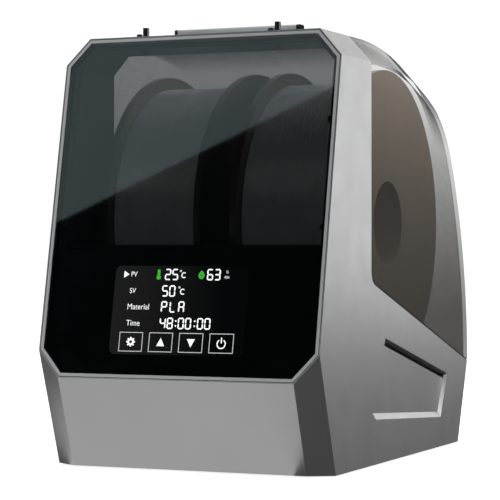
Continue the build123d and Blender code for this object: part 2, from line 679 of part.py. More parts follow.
# ---------------------------------------------------------------- rollers under the spools
inner_wheel_x = SPOOL_INNER_X + SPOOL_FLANGE / 2
outer_wheel_x = SPOOL_OUTER_X - SPOOL_FLANGE / 2
outer_post_x = CHAMBER_HALF_WIDTH - OUTER_POST_WIDTH / 2 - POST_END_GAP
for end, direction in (("front", -1), ("rear", 1)):
    roller_y = SPOOL_Y + direction * ROLLER_OFFSET_Y
    roller_axis_plane = Plane(origin=(0, roller_y, ROLLER_Z), x_dir=(0, 1, 0), z_dir=(1, 0, 0))
    with BuildPart() as cradle:
        with BuildSketch(Plane.XY.offset(FLOOR_TOP_Z)):
            with Locations((0, roller_y)):
                Rectangle(2 * outer_post_x + OUTER_POST_WIDTH, POST_DEPTH)
        extrude(amount=CRADLE_THICKNESS)
        for post_x, post_width in (
            (-outer_post_x, OUTER_POST_WIDTH),
            (0, MIDDLE_POST_WIDTH),
            (outer_post_x, OUTER_POST_WIDTH),
        ):
            with BuildSketch(SIDE_PLANE.offset(post_x - post_width / 2)):
                with Locations((roller_y, ROLLER_Z)):
                    Circle(POST_DEPTH / 2)
                with Locations((roller_y, (FLOOR_TOP_Z + ROLLER_Z) / 2)):
                    Rectangle(POST_DEPTH, ROLLER_Z - FLOOR_TOP_Z)
            extrude(amount=post_width)
        with BuildSketch(roller_axis_plane):
            Circle(AXLE_RADIUS + RUNNING_FIT)
        extrude(amount=WIDTH / 2, both=True, mode=Mode.SUBTRACT)
    finish(cradle, "roller_cradle_" + end)
    for hand, side in (("left", -1), ("right", 1)):
        with BuildPart() as axle:
            with BuildSketch(roller_axis_plane.offset(side * AXLE_END)):
                Circle(AXLE_RADIUS)
            extrude(amount=side * (outer_post_x + OUTER_POST_WIDTH / 2 - AXLE_END))
        finish(axle, "roller_axle_" + end + "_" + hand)
        with BuildPart() as rollers:
            for wheel_x in (inner_wheel_x, outer_wheel_x):
                with BuildSketch(roller_axis_plane.offset(side * wheel_x - ROLLER_WIDTH / 2)):
                    Circle(ROLLER_RADIUS)
                    Circle(AXLE_RADIUS, mode=Mode.SUBTRACT)
                extrude(amount=ROLLER_WIDTH)
            wheel_edges = rollers.edges().filter_by(GeomType.CIRCLE).group_by(SortBy.RADIUS)[-1]
            chamfer(wheel_edges, ROLLER_CHAMFER)
        finish(rollers, "rollers_" + end + "_" + hand)

# ---------------------------------------------------------------- spools with their filament
drum_bore = SPOOL_DRUM_RADIUS - SPOOL_DRUM_WALL
tube_radius = SPOOL_BORE_RADIUS + SPOOL_TUBE_WALL
winding_start = SPOOL_INNER_X + SPOOL_FLANGE
winding_end = SPOOL_OUTER_X - SPOOL_FLANGE
for name, rings in (
    ("spool_inner_flange", ((SPOOL_INNER_X, winding_start, drum_bore, SPOOL_RADIUS),)),
    ("spool_outer_flange", ((winding_end, SPOOL_OUTER_X, SPOOL_BORE_RADIUS, SPOOL_RADIUS),)),
    (
        "spool_core",
        (
            (winding_start, winding_end, drum_bore, SPOOL_DRUM_RADIUS),
            (SPOOL_INNER_X, winding_end, SPOOL_BORE_RADIUS, tube_radius),
        ),
    ),
    ("filament", ((winding_start, winding_end, SPOOL_DRUM_RADIUS, WINDING_RADIUS),)),
):
    with BuildPart() as right_piece:
        with BuildSketch(SPOOL_PLANE):
            for near_x, far_x, near_r, far_r in rings:
                with Locations(((near_x + far_x) / 2, (near_r + far_r) / 2)):
                    Rectangle(far_x - near_x, far_r - near_r)
        revolve(axis=SPOOL_AXIS)
        if name == "spool_core":
            rib_inner = tube_radius - SPOOL_TUBE_WALL / 2
            rib_outer = drum_bore + SPOOL_DRUM_WALL / 2
            with BuildSketch(SPOOL_SECTION.offset(winding_start)):
                with PolarLocations((rib_inner + rib_outer) / 2, SPOOL_RIBS):
                    Rectangle(rib_outer - rib_inner, SPOOL_TUBE_WALL)
            extrude(amount=winding_end - winding_start)
    finish(right_piece, name + "_right")
    with BuildPart() as left_piece:
        mirror(right_piece.part, about=Plane.YZ)
    finish(left_piece, name + "_left")

# ---------------------------------------------------------------- fan, heater and duct
duct_half_width = FAN_SIZE / 2 + LOOSE_FIT + DUCT_WALL
duct_front_y = HEATER_Y - HEATER_LENGTH / 2 - LOOSE_FIT - DUCT_WALL
duct_rear_y = FAN_Y + FAN_SIZE / 2 + LOOSE_FIT + DUCT_WALL
with BuildPart() as air_duct:
    with BuildSketch(Plane.XY.offset(DUCT_BOTTOM_Z)):
        with Locations((0, (duct_front_y + duct_rear_y) / 2)):
            Rectangle(2 * duct_half_width, duct_rear_y - duct_front_y)
    extrude(amount=FLOOR_BOTTOM_Z - DUCT_BOTTOM_Z)
    offset(amount=-DUCT_WALL, openings=air_duct.faces().sort_by(Axis.Z)[-1], kind=Kind.INTERSECTION)
finish(air_duct, "air_duct")

hub_mount_z = FAN_BOTTOM_Z + FAN_WEB
with BuildPart() as fan_frame:
    with BuildSketch(Plane.XY.offset(FAN_BOTTOM_Z)):
        with Locations((0, FAN_Y)):
            RectangleRounded(FAN_SIZE, FAN_SIZE, FAN_CORNER_RADIUS)
            Circle(FAN_BORE_RADIUS, mode=Mode.SUBTRACT)
            with GridLocations(FAN_HOLE_PITCH, FAN_HOLE_PITCH, 2, 2):
                Circle(FAN_HOLE_RADIUS, mode=Mode.SUBTRACT)
    extrude(amount=FAN_THICKNESS)
    with BuildSketch(Plane.XY.offset(FAN_BOTTOM_Z)):
        with Locations((0, FAN_Y)):
            Circle(FAN_HUB_RADIUS)
            with PolarLocations(FAN_BORE_RADIUS / 2, FAN_SPOKES):
                Rectangle(FAN_BORE_RADIUS + FAN_WEB, FAN_WEB)
    extrude(amount=FAN_WEB)
    with BuildSketch(Plane.XY.offset(hub_mount_z)):
        with Locations((0, FAN_Y)):
            Circle(FAN_BEARING_RADIUS)
    extrude(amount=FAN_BEARING_HEIGHT)
    with BuildSketch(Plane.XY.offset(hub_mount_z)):
        with Locations((0, FAN_Y)):
            Circle(FAN_SHAFT_RADIUS + RUNNING_FIT)
    extrude(amount=FAN_BEARING_HEIGHT, mode=Mode.SUBTRACT)
finish(fan_frame, "fan_frame")

rotor_bottom_z = hub_mount_z + FAN_TIP_GAP
rotor_top_z = FAN_TOP_Z - FAN_TIP_GAP
blade_rise = rotor_top_z - rotor_bottom_z - 2 * FAN_TIP_GAP
blade_chord = blade_rise / sin(radians(FAN_BLADE_PITCH))
blade_tip = sqrt((FAN_BORE_RADIUS - FAN_TIP_GAP) ** 2 - (blade_chord / 2) ** 2)
blade_root = FAN_HUB_RADIUS - FAN_HUB_WALL / 2
with BuildPart() as fan_rotor:
    with BuildSketch(Plane.XY.offset(rotor_bottom_z)):
        with Locations((0, FAN_Y)):
            Circle(FAN_HUB_RADIUS)
    extrude(amount=rotor_top_z - rotor_bottom_z)
    with BuildSketch(Plane.XY.offset(rotor_bottom_z)):
        with Locations((0, FAN_Y)):
            Circle(FAN_HUB_RADIUS - FAN_HUB_WALL)
            Circle(FAN_SHAFT_RADIUS, mode=Mode.SUBTRACT)
    extrude(amount=rotor_top_z - rotor_bottom_z - FAN_HUB_WALL, mode=Mode.SUBTRACT)
    with Locations((0, FAN_Y, (rotor_bottom_z + rotor_top_z) / 2)):
        with PolarLocations((blade_root + blade_tip) / 2, FAN_BLADES):
            Box(
                blade_tip - blade_root,
                blade_chord,
                FAN_BLADE_THICKNESS,
                rotation=(FAN_BLADE_PITCH, 0, 0),
            )
finish(fan_rotor, "fan_rotor")

heater_bottom_z = FLOOR_BOTTOM_Z - HEATER_HEIGHT
with BuildPart() as heater_frame:
    with BuildSketch(Plane.XY.offset(heater_bottom_z)):
        with Locations((0, HEATER_Y)):
            Rectangle(HEATER_WIDTH, HEATER_LENGTH)
            Rectangle(
                HEATER_WIDTH - 2 * HEATER_FRAME,
                HEATER_LENGTH - 2 * HEATER_FRAME,
                mode=Mode.SUBTRACT,
            )
    extrude(amount=HEATER_HEIGHT)
finish(heater_frame, "heater_frame")

core_width = HEATER_WIDTH - 2 * HEATER_FRAME
core_length = HEATER_LENGTH - 2 * HEATER_FRAME
with BuildPart() as heater_core:
    with BuildSketch(Plane.XY.offset(heater_bottom_z + HEATER_FRAME)):
        with Locations((0, HEATER_Y)):
            with GridLocations(1, (core_length - HEATER_BAR) / (HEATER_BARS - 1), 1, HEATER_BARS):
                Rectangle(core_width, HEATER_BAR)
            with GridLocations((core_width - HEATER_FIN) / (HEATER_FINS - 1), 1, HEATER_FINS, 1):
                Rectangle(HEATER_FIN, core_length)
    extrude(amount=HEATER_HEIGHT - 2 * HEATER_FRAME)
finish(heater_core, "heater_core")

# ---------------------------------------------------------------- base
boss_places = [(x, y) for x in (-BOSS_X, BOSS_X) for y in (BOSS_FRONT_Y, BOSS_REAR_Y)]
board_z = BASE_TOP_Z + STANDOFF_HEIGHT
with BuildPart() as base_plate:
    add(base_form)
    add(level_slab(BASE_BOTTOM_Z, BASE_TOP_Z), mode=Mode.INTERSECT)
    with BuildSketch(Plane.XY.offset(BASE_TOP_Z)):
        for board_x in (SUPPLY_X, CONTROL_X):
            with Locations((board_x, ELECTRONICS_Y)):
                with GridLocations(STANDOFF_X_PITCH, STANDOFF_Y_PITCH, 2, 2):
                    Circle(STANDOFF_RADIUS)
    extrude(amount=STANDOFF_HEIGHT)
    with BuildSketch(Plane.XY.offset(BASE_TOP_Z)):
        with Locations((0, (duct_front_y + duct_rear_y) / 2)):
            Rectangle(DUCT_PAD, duct_rear_y - duct_front_y)
    extrude(amount=DUCT_BOTTOM_Z - BASE_TOP_Z)
    with BuildSketch(Plane.XY.offset(BASE_BOTTOM_Z)):
        with Locations(*boss_places):
            Circle(SCREW_RADIUS + LOOSE_FIT)
        with Locations((0, VENT_ROW_Y)):
            with GridLocations(GRILLE_PITCH, 1, BASE_VENTS, 1):
                SlotOverall(BASE_VENT_LENGTH, GRILLE_SLOT, rotation=90)
    extrude(amount=BASE_THICKNESS, mode=Mode.SUBTRACT)
    with BuildSketch(Plane.XY.offset(BASE_BOTTOM_Z)):
        with Locations(*boss_places):
            Circle(SCREW_HEAD_RADIUS + LOOSE_FIT)
    extrude(amount=SCREW_HEAD_HEIGHT, mode=Mode.SUBTRACT)
finish(base_plate, "base_plate")

with BuildPart() as base_screws:
    with BuildSketch(Plane.XY.offset(BASE_BOTTOM_Z)):
        with Locations(*boss_places):
            Circle(SCREW_HEAD_RADIUS)
    extrude(amount=SCREW_HEAD_HEIGHT)
    with BuildSketch(Plane.XY.offset(BASE_BOTTOM_Z + SCREW_HEAD_HEIGHT)):
        with Locations(*boss_places):
            Circle(SCREW_RADIUS)
    extrude(amount=SCREW_LENGTH - SCREW_HEAD_HEIGHT)
    with BuildSketch(Plane.XY.offset(BASE_BOTTOM_Z)):
        with Locations(*boss_places):
            RegularPolygon(SCREW_SOCKET, SCREW_SOCKET_SIDES)
    extrude(amount=SCREW_HEAD_HEIGHT / 2, mode=Mode.SUBTRACT)
finish(base_screws, "base_screws")

with BuildPart() as rubber_feet:
    with BuildSketch():
        with GridLocations(2 * FOOT_X, 2 * FOOT_Y, 2, 2):
            Circle(FOOT_RADIUS)
    extrude(amount=FOOT_HEIGHT)
finish(rubber_feet, "rubber_feet")

# ---------------------------------------------------------------- electronics in the base
for board_name, board_x, blocks in (
    ("power_supply", SUPPLY_X, SUPPLY_BLOCKS),
    ("control_board", CONTROL_X, CONTROL_BLOCKS),
):
    with BuildPart() as board:
        with BuildSketch(Plane.XY.offset(board_z)):
            with Locations((board_x, ELECTRONICS_Y)):
                Rectangle(ELECTRONICS_WIDTH, ELECTRONICS_LENGTH)
        extrude(amount=BOARD_THICKNESS)
        for block_x, block_y, block_width, block_length, block_height in blocks:
            with BuildSketch(Plane.XY.offset(board_z + BOARD_THICKNESS)):
                with Locations((board_x + block_x, ELECTRONICS_Y + block_y)):
                    Rectangle(block_width, block_length)
            extrude(amount=block_height)
    finish(board, board_name)

with BuildPart() as power_inlet:
    with BuildSketch(INLET_PLANE):
        RectangleRounded(
            INLET_WIDTH + 2 * INLET_FLANGE_MARGIN,
            INLET_HEIGHT + 2 * INLET_FLANGE_MARGIN,
            INLET_FLANGE_MARGIN,
        )
    extrude(amount=INLET_FLANGE)
    with BuildSketch(INLET_PLANE):
        Rectangle(INLET_WIDTH, INLET_HEIGHT)
    extrude(amount=-INLET_BODY_DEPTH)
    with BuildSketch(INLET_PLANE.offset(INLET_FLANGE)):
        Rectangle(INLET_SOCKET_WIDTH, INLET_SOCKET_HEIGHT)
    extrude(amount=-INLET_SOCKET_DEPTH, mode=Mode.SUBTRACT)
    with BuildSketch(INLET_PLANE.offset(INLET_FLANGE - INLET_SOCKET_DEPTH)):
        with Locations(*INLET_PINS):
            Rectangle(INLET_PIN_WIDTH, INLET_PIN_HEIGHT)
    extrude(amount=INLET_PIN_LENGTH)
finish(power_inlet, "power_inlet")

# ---------------------------------------------------------------- lid
with BuildPart() as lid_shell:
    add(outer_form)
    add(lid_cavity, mode=Mode.SUBTRACT)
    add(lid_space, mode=Mode.INTERSECT)
    with BuildSketch(Plane.XY.offset(HEIGHT)):
        with Locations(*BAR_SCREWS):
            Circle(SMALL_SCREW_RADIUS)
    extrude(amount=-2 * LID_WALL, mode=Mode.SUBTRACT)
finish(lid_shell, "lid_shell")

with BuildPart() as lid_seal:
    add(seal_form)
    add(lid_cavity, mode=Mode.SUBTRACT)
    add(lid_zone(SEAM_GAP / 2 - SEAL_CLEARANCE), mode=Mode.INTERSECT)
    add(lid_space, mode=Mode.SUBTRACT)
finish(lid_seal, "lid_seal")

# ---------------------------------------------------------------- hinge across the roof
half_bar = HINGE_BAR_LENGTH / 2
with BuildPart() as hinge_bar:
    with BuildSketch(SIDE_PLANE.offset(-half_bar)):
        with Locations((HINGE_Y, (HEIGHT + HINGE_Z + HINGE_TOP) / 2)):
            Rectangle(2 * HINGE_HALF_DEPTH, HINGE_Z + HINGE_TOP - HEIGHT)
    extrude(amount=HINGE_BAR_LENGTH)
    top_edges = hinge_bar.edges().filter_by(Axis.X).group_by(Axis.Z)[-1]
    fillet(top_edges, HINGE_CORNER_RADIUS)
    with BuildSketch(SIDE_PLANE.offset(-half_bar)):
        with Locations((HINGE_Y, HINGE_Z)):
            Circle(HINGE_PIN_RADIUS + RUNNING_FIT)
    extrude(amount=HINGE_BAR_LENGTH, mode=Mode.SUBTRACT)
    with BuildSketch(Plane.XY.offset(HEIGHT)):
        with Locations(*BAR_SCREWS):
            Circle(SMALL_SCREW_RADIUS)
    extrude(amount=BAR_SCREW_REACH, mode=Mode.SUBTRACT)
finish(hinge_bar, "hinge_bar")

with BuildPart() as hinge_bar_screws:
    with BuildSketch(Plane.XY.offset(HEIGHT + BAR_SCREW_REACH)):
        with Locations(*BAR_SCREWS):
            Circle(SMALL_SCREW_RADIUS)
    extrude(amount=-BAR_SCREW_REACH - LID_WALL)
    with BuildSketch(Plane.XY.offset(HEIGHT - LID_WALL)):
        with Locations(*BAR_SCREWS):
            Circle(SMALL_SCREW_HEAD_RADIUS)
    extrude(amount=-SMALL_SCREW_HEAD_HEIGHT)
finish(hinge_bar_screws, "hinge_bar_screws")

cap_inner_x = half_bar + HINGE_END_GAP
with BuildPart() as bracket_right:
    with BuildSketch(SIDE_PLANE.offset(cap_inner_x)):
        with Locations((HINGE_Y, HINGE_Z)):
            Circle(HINGE_HALF_DEPTH)
        with Locations((HINGE_Y, HINGE_Z + HINGE_TOP / 2)):
            Rectangle(2 * HINGE_HALF_DEPTH, HINGE_TOP)
        with Locations((HINGE_Y - HINGE_ARM_REACH / 2, HEIGHT + HINGE_LIFT + HINGE_FOOT_THICKNESS / 2)):
            Rectangle(HINGE_ARM_REACH, HINGE_FOOT_THICKNESS)
    extrude(amount=HINGE_CAP_WIDTH)
    fillet(bracket_right.edges().filter_by(Axis.X).group_by(Axis.Z)[-1], HINGE_CORNER_RADIUS)
    with BuildSketch(Plane.XY.offset(HEIGHT)):
        foot_inner_x = cap_inner_x + HINGE_CAP_WIDTH - HINGE_FOOT_WIDTH
        foot_rear_y = SEAM_Y - SEAM_GAP / 2 - HINGE_LIFT
        with Locations((foot_inner_x + HINGE_FOOT_WIDTH / 2, foot_rear_y - HINGE_FOOT_LENGTH / 2)):
            Rectangle(HINGE_FOOT_WIDTH, HINGE_FOOT_LENGTH)
    extrude(amount=HINGE_FOOT_THICKNESS)
    with BuildSketch(SIDE_PLANE.offset(cap_inner_x)):
        with Locations((HINGE_Y, HINGE_Z)):
            Circle(HINGE_PIN_RADIUS)
    extrude(amount=HINGE_CAP_WIDTH, mode=Mode.SUBTRACT)
    with BuildSketch(Plane.XY.offset(HEIGHT)):
        with Locations(*HINGE_SCREWS):
            Circle(SMALL_SCREW_RADIUS)
    extrude(amount=HINGE_FOOT_THICKNESS, mode=Mode.SUBTRACT)
finish(bracket_right, "hinge_bracket_right")

with BuildPart() as bracket_left:
    mirror(bracket_right.part, about=Plane.YZ)
finish(bracket_left, "hinge_bracket_left")

with BuildPart() as hinge_screws:
    with BuildSketch(Plane.XY.offset(HEIGHT - WALL)):
        with Locations(*HINGE_SCREWS):
            Circle(SMALL_SCREW_RADIUS)
    extrude(amount=WALL + HINGE_FOOT_THICKNESS)
    with BuildSketch(Plane.XY.offset(HEIGHT + HINGE_FOOT_THICKNESS)):
        with Locations(*HINGE_SCREWS):
            Circle(SMALL_SCREW_HEAD_RADIUS)
    extrude(amount=SMALL_SCREW_HEAD_HEIGHT)
finish(hinge_screws, "hinge_screws")

with BuildPart() as hinge_pin:
    with BuildSketch(SIDE_PLANE.offset(-cap_inner_x - HINGE_CAP_WIDTH)):
        with Locations((HINGE_Y, HINGE_Z)):
            Circle(HINGE_PIN_RADIUS)
    extrude(amount=2 * (cap_inner_x + HINGE_CAP_WIDTH))
finish(hinge_pin, "hinge_pin")

# ---------------------------------------------------------------- filament outlets
for hand, side in (("left", -1), ("right", 1)):
    outlet = (side * OUTLET_X, OUTLET_Y)
    with BuildPart() as guide_tube:
        with BuildSketch(Plane.XY.offset(HEIGHT - TUBE_BELOW)):
            with Locations(outlet):
                Circle(TUBE_RADIUS)
        extrude(amount=TUBE_BELOW + TUBE_RISE)
        with BuildSketch(Plane.XY.offset(HEIGHT - WALL - TUBE_COLLAR_HEIGHT)):
            with Locations(outlet):
                Circle(TUBE_COLLAR_RADIUS)
        extrude(amount=TUBE_COLLAR_HEIGHT)
        with BuildSketch(Plane.XY.offset(HEIGHT - TUBE_BELOW)):
            with Locations(outlet):
                Circle(TUBE_BORE_RADIUS)
        extrude(amount=TUBE_BELOW + TUBE_RISE, mode=Mode.SUBTRACT)
    finish(guide_tube, "guide_tube_" + hand)

    plug_x = outlet[0] - PLUG_REACH
    with BuildPart() as outlet_plug:
        with BuildSketch(Plane.XY.offset(HEIGHT)):
            with Locations(outlet, (plug_x, OUTLET_Y)):
                Circle(PLUG_STRAP_RADIUS)
            with Locations((outlet[0] - PLUG_REACH / 2, OUTLET_Y)):
                Rectangle(PLUG_REACH, PLUG_STRAP_RADIUS)
        extrude(amount=PLUG_STRAP_THICKNESS)
        with BuildSketch(Plane.XY.offset(HEIGHT)):
            with Locations((plug_x, OUTLET_Y)):
                Circle(PLUG_RADIUS)
        extrude(amount=PLUG_HEIGHT)
        fillet(outlet_plug.edges().group_by(Axis.Z)[-1], PLUG_RADIUS / 2)
        with BuildSketch(Plane.XY.offset(HEIGHT)):
            with Locations(outlet):
                Circle(TUBE_RADIUS)
        extrude(amount=PLUG_STRAP_THICKNESS, mode=Mode.SUBTRACT)
    finish(outlet_plug, "outlet_plug_" + hand)
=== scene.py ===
import math

import bpy
import numpy as np
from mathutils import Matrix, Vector


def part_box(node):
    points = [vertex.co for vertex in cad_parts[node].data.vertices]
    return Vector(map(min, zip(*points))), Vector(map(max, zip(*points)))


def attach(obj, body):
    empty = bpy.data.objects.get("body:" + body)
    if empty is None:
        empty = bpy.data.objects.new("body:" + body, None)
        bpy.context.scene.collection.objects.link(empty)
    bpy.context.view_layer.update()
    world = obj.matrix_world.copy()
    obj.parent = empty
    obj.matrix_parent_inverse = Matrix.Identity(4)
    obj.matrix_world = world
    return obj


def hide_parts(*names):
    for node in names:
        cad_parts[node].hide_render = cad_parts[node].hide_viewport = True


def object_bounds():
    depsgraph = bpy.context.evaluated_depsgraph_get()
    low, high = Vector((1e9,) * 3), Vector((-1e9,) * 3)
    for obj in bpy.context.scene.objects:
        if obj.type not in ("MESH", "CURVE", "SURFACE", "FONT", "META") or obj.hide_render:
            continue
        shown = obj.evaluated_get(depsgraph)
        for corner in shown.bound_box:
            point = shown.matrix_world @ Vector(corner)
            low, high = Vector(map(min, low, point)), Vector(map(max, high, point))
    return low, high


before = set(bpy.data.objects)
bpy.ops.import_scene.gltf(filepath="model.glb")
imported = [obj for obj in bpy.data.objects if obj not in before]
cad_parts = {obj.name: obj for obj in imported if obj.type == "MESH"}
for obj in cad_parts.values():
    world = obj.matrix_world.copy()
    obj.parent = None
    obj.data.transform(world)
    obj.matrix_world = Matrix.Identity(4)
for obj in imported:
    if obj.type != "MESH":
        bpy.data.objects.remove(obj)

bl_info = {
    "name": "Filament dryer box",
    "version": (1, 0, 0),
    "blender": (4, 5, 0),
    "location": "View3D > Sidebar > Dryer",
    "description": "Finishes and details of a two-spool filament dryer box, built round its packed parts",
    "category": "Object",
}

CAD_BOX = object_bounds()
MM = 0.001
HANDS = ("left", "right")
ENDS = ("front", "rear")
RIM_START = 0.68
RIM_FULL = 0.92
RIM_SHADE = 0.15

# The display module's box gives the lean of the whole front: its thickness is known.
MODULE_LOW, MODULE_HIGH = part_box("display_module")
MODULE_THICKNESS = 5.0 * MM
PANEL_LEAN = math.radians(11.27)
UP_PANEL = np.array([0.0, math.sin(PANEL_LEAN), math.cos(PANEL_LEAN)])
INTO_PANEL = np.array([0.0, math.cos(PANEL_LEAN), -math.sin(PANEL_LEAN)])
MODULE_FOOT = np.array([
    (MODULE_LOW.x + MODULE_HIGH.x) / 2,
    MODULE_LOW.y,
    MODULE_LOW.z + MODULE_THICKNESS * math.sin(PANEL_LEAN),
])


# ---------------------------------------------------------------- settings
def colour(text, default):
    """A colour setting with its name and default."""
    return bpy.props.FloatVectorProperty(
        name=text, description=text, subtype="COLOR", size=3, min=0.0, max=1.0, default=default
    )


def share(text, default):
    """A setting from 0 to 1."""
    return bpy.props.FloatProperty(
        name=text, description=text, subtype="FACTOR", min=0.0, max=1.0, default=default
    )


def length(text, default):
    """A length setting in metres."""
    return bpy.props.FloatProperty(
        name=text, description=text, subtype="DISTANCE", unit="LENGTH", min=0.0, default=default
    )


def level(text, default):
    """A plain positive number."""
    return bpy.props.FloatProperty(name=text, description=text, min=0.0, default=default)


class DryerShellSettings(bpy.types.PropertyGroup):
    """Paint and moulding of the outside."""

    paint: colour("Silver paint", (0.30, 0.30, 0.305))
    paint_metal: share("Metallic share of the paint", 0.55)
    paint_roughness: share("Roughness of the paint", 0.36)
    bezel: colour("Bezel paint", (0.72, 0.725, 0.73))
    bar: colour("Hinge bar metal", (0.88, 0.88, 0.89))
    plastic: colour("Black plastic", (0.022, 0.022, 0.024))
    rubber: colour("Black rubber", (0.018, 0.018, 0.018))


class DryerGlassSettings(bpy.types.PropertyGroup):
    """Smoked glass and lid, and the print behind the glass."""

    tint: colour("Glass tint", (0.002, 0.003, 0.0035))
    density: share("Density of the glass", 0.64)
    lid_tint: colour("Lid tint", (0.112, 0.102, 0.092))
    # The lid's density by height is painted shade: the lid is evenly smoked, and it is made denser towards
    # the bottom only to darken it where less light falls.
    lid_density_lit_top: share("Density of the lid at the roof", 0.10)
    lid_density_shaded_low: share("Density of the lid low down", 0.55)
    lid_shade_low_z: length("Height where the lid is densest", 90.0 * MM)
    lid_shade_high_z: length("Height where the lid is thinnest", 255.0 * MM)
    printed: colour("Black print", (0.0035, 0.0035, 0.004))


class DryerDisplaySettings(bpy.types.PropertyGroup):
    """What the display shows."""

    white: colour("White figures", (1.0, 1.0, 1.0))
    green: colour("Green signs", (0.05, 0.46, 0.04))
    glow: level("Brightness of the figures", 9.0)
    digit_height: length("Height of a figure", 7.0 * MM)
    digit_width: length("Width of a figure", 4.1 * MM)
    digit_pitch: length("Distance from figure to figure", 4.85 * MM)


class DryerSpoolSettings(bpy.types.PropertyGroup):
    """Spools and the filament on them."""

    flange: colour("Spool plastic", (0.24, 0.20, 0.16))
    strand_colour: colour("Filament", (0.42, 0.46, 0.465))
    strand: length("Filament diameter", 1.75 * MM)


class DryerStageSettings(bpy.types.PropertyGroup):
    """Floor, light and camera."""

    key_power: level("Power of the key light in watts", 7.5)
    side_glow: level("Brightness of the card mirrored in the side wall", 2.0)
    front_glow: level("Brightness of the card mirrored in the lower front", 1.45)
    fill_power: level("Power of the low front light in watts", 3.8)
    top_power: level("Power of the overhead light in watts", 3.2)
    flank_power: level("Power of the light on the spool's flank in watts", 0.9)
    chamber_power: level("Power of the light into the chamber in watts", 22.0)
    floor: colour("Floor", (0.93, 0.93, 0.93))
    card: colour("Card mirrored in the glass", (0.74, 0.95, 1.0))
    card_glow: level("Brightness of the card", 1.1)


def settings(group):
    """The named group of settings of this scene."""
    return getattr(bpy.context.scene, group)


# ---------------------------------------------------------------- materials
class Nodes:
    """A material's node tree with short calls for the few nodes that the finishes use."""

    def __init__(self, name):
        self.material = bpy.data.materials.new(name)
        self.material.use_nodes = True
        self.tree = self.material.node_tree
        self.shader = self.tree.nodes["Principled BSDF"]
        self.place = self.add("ShaderNodeTexCoord").outputs["Object"]

    def add(self, kind, **values):
        """One node, with its plain settings."""
        node = self.tree.nodes.new(kind)
        for key, value in values.items():
            setattr(node, key, value)
        return node

    def link(self, source, target):
        """Joins an output to an input."""
        self.tree.links.new(source, target)

    def noise(self, scale, detail=3.0, rough=0.5, stretch=(1.0, 1.0, 1.0)):
        """Noise over the object, scale features to a metre, stretched by axis."""
        mapping = self.add("ShaderNodeMapping")
        mapping.inputs["Scale"].default_value = stretch
        self.link(self.place, mapping.inputs["Vector"])
        node = self.add("ShaderNodeTexNoise")
        node.inputs["Scale"].default_value = scale
        node.inputs["Detail"].default_value = detail
        node.inputs["Roughness"].default_value = rough
        self.link(mapping.outputs["Vector"], node.inputs["Vector"])
        return node.outputs["Fac"]

    def ranged(self, source, start, stop, low, high):
        """Source's range from start to stop carried to the range from low to high, and held there."""
        node = self.add("ShaderNodeMapRange")
        for socket, value in zip(("From Min", "From Max", "To Min", "To Max"), (start, stop, low, high)):
            node.inputs[socket].default_value = value
        self.link(source, node.inputs["Value"])
        return node.outputs["Result"]

    def spread(self, source, low, high):
        """Source's range from 0.3 to 0.7 carried to the range from low to high."""
        return self.ranged(source, 0.3, 0.7, low, high)

    def blend(self, share_of, first, second):
        """A colour between first and second."""
        node = self.add("ShaderNodeMix", data_type="RGBA")
        self.link(share_of, node.inputs["Factor"])
        node.inputs["A"].default_value = (*first, 1.0)
        node.inputs["B"].default_value = (*second, 1.0)
        return node.outputs["Result"]

    def bump(self, height, strength, distance):
        """Bump from a height, distance in metres."""
        node = self.add("ShaderNodeBump")
        node.inputs["Strength"].default_value = strength
        node.inputs["Distance"].default_value = distance
        self.link(height, node.inputs["Height"])
        return node

    def set(self, **values):
        """Constant values on the shader's own sockets, with underscores for spaces."""
        for key, value in values.items():
            self.shader.inputs[key.replace("_", " ")].default_value = value


def shade(base, factor):
    """A colour made lighter or darker."""
    return tuple(min(1.0, channel * factor) for channel in base)


def moulded(name, base, roughness=0.45, grain=900.0, depth=0.02, mottle=0.10, wander=0.06, **sockets):
    """Moulded or painted finish: slow colour mottle, wandering gloss and a fine even grain."""
    nodes = Nodes(name)
    slow = nodes.noise(22.0, detail=4.0)
    nodes.link(
        nodes.blend(slow, shade(base, 1.0 - mottle), shade(base, 1.0 + mottle)),
        nodes.shader.inputs["Base Color"],
    )
    gloss = nodes.noise(70.0, detail=5.0, rough=0.6)
    nodes.link(
        nodes.spread(gloss, max(0.0, roughness - wander), roughness + wander),
        nodes.shader.inputs["Roughness"],
    )
    fine = nodes.bump(nodes.noise(grain, detail=2.0), 0.35, depth * MM)
    nodes.link(fine.outputs["Normal"], nodes.shader.inputs["Normal"])
    nodes.set(**sockets)
    return nodes.material


def brushed(name, base, along, roughness=0.3, metal=1.0):
    """Metal with fine scratches along one axis."""
    nodes = Nodes(name)
    stretch = tuple(0.03 if axis == along else 1.0 for axis in "XYZ")
    lines = nodes.noise(2600.0, detail=3.0, rough=0.7, stretch=stretch)
    nodes.link(nodes.blend(lines, shade(base, 0.86), shade(base, 1.1)), nodes.shader.inputs["Base Color"])
    nodes.link(nodes.spread(lines, roughness - 0.08, roughness + 0.10), nodes.shader.inputs["Roughness"])
    nodes.link(
        nodes.bump(lines, 0.25, 0.01 * MM).outputs["Normal"], nodes.shader.inputs["Normal"]
    )
    nodes.set(Metallic=metal)
    return nodes.material


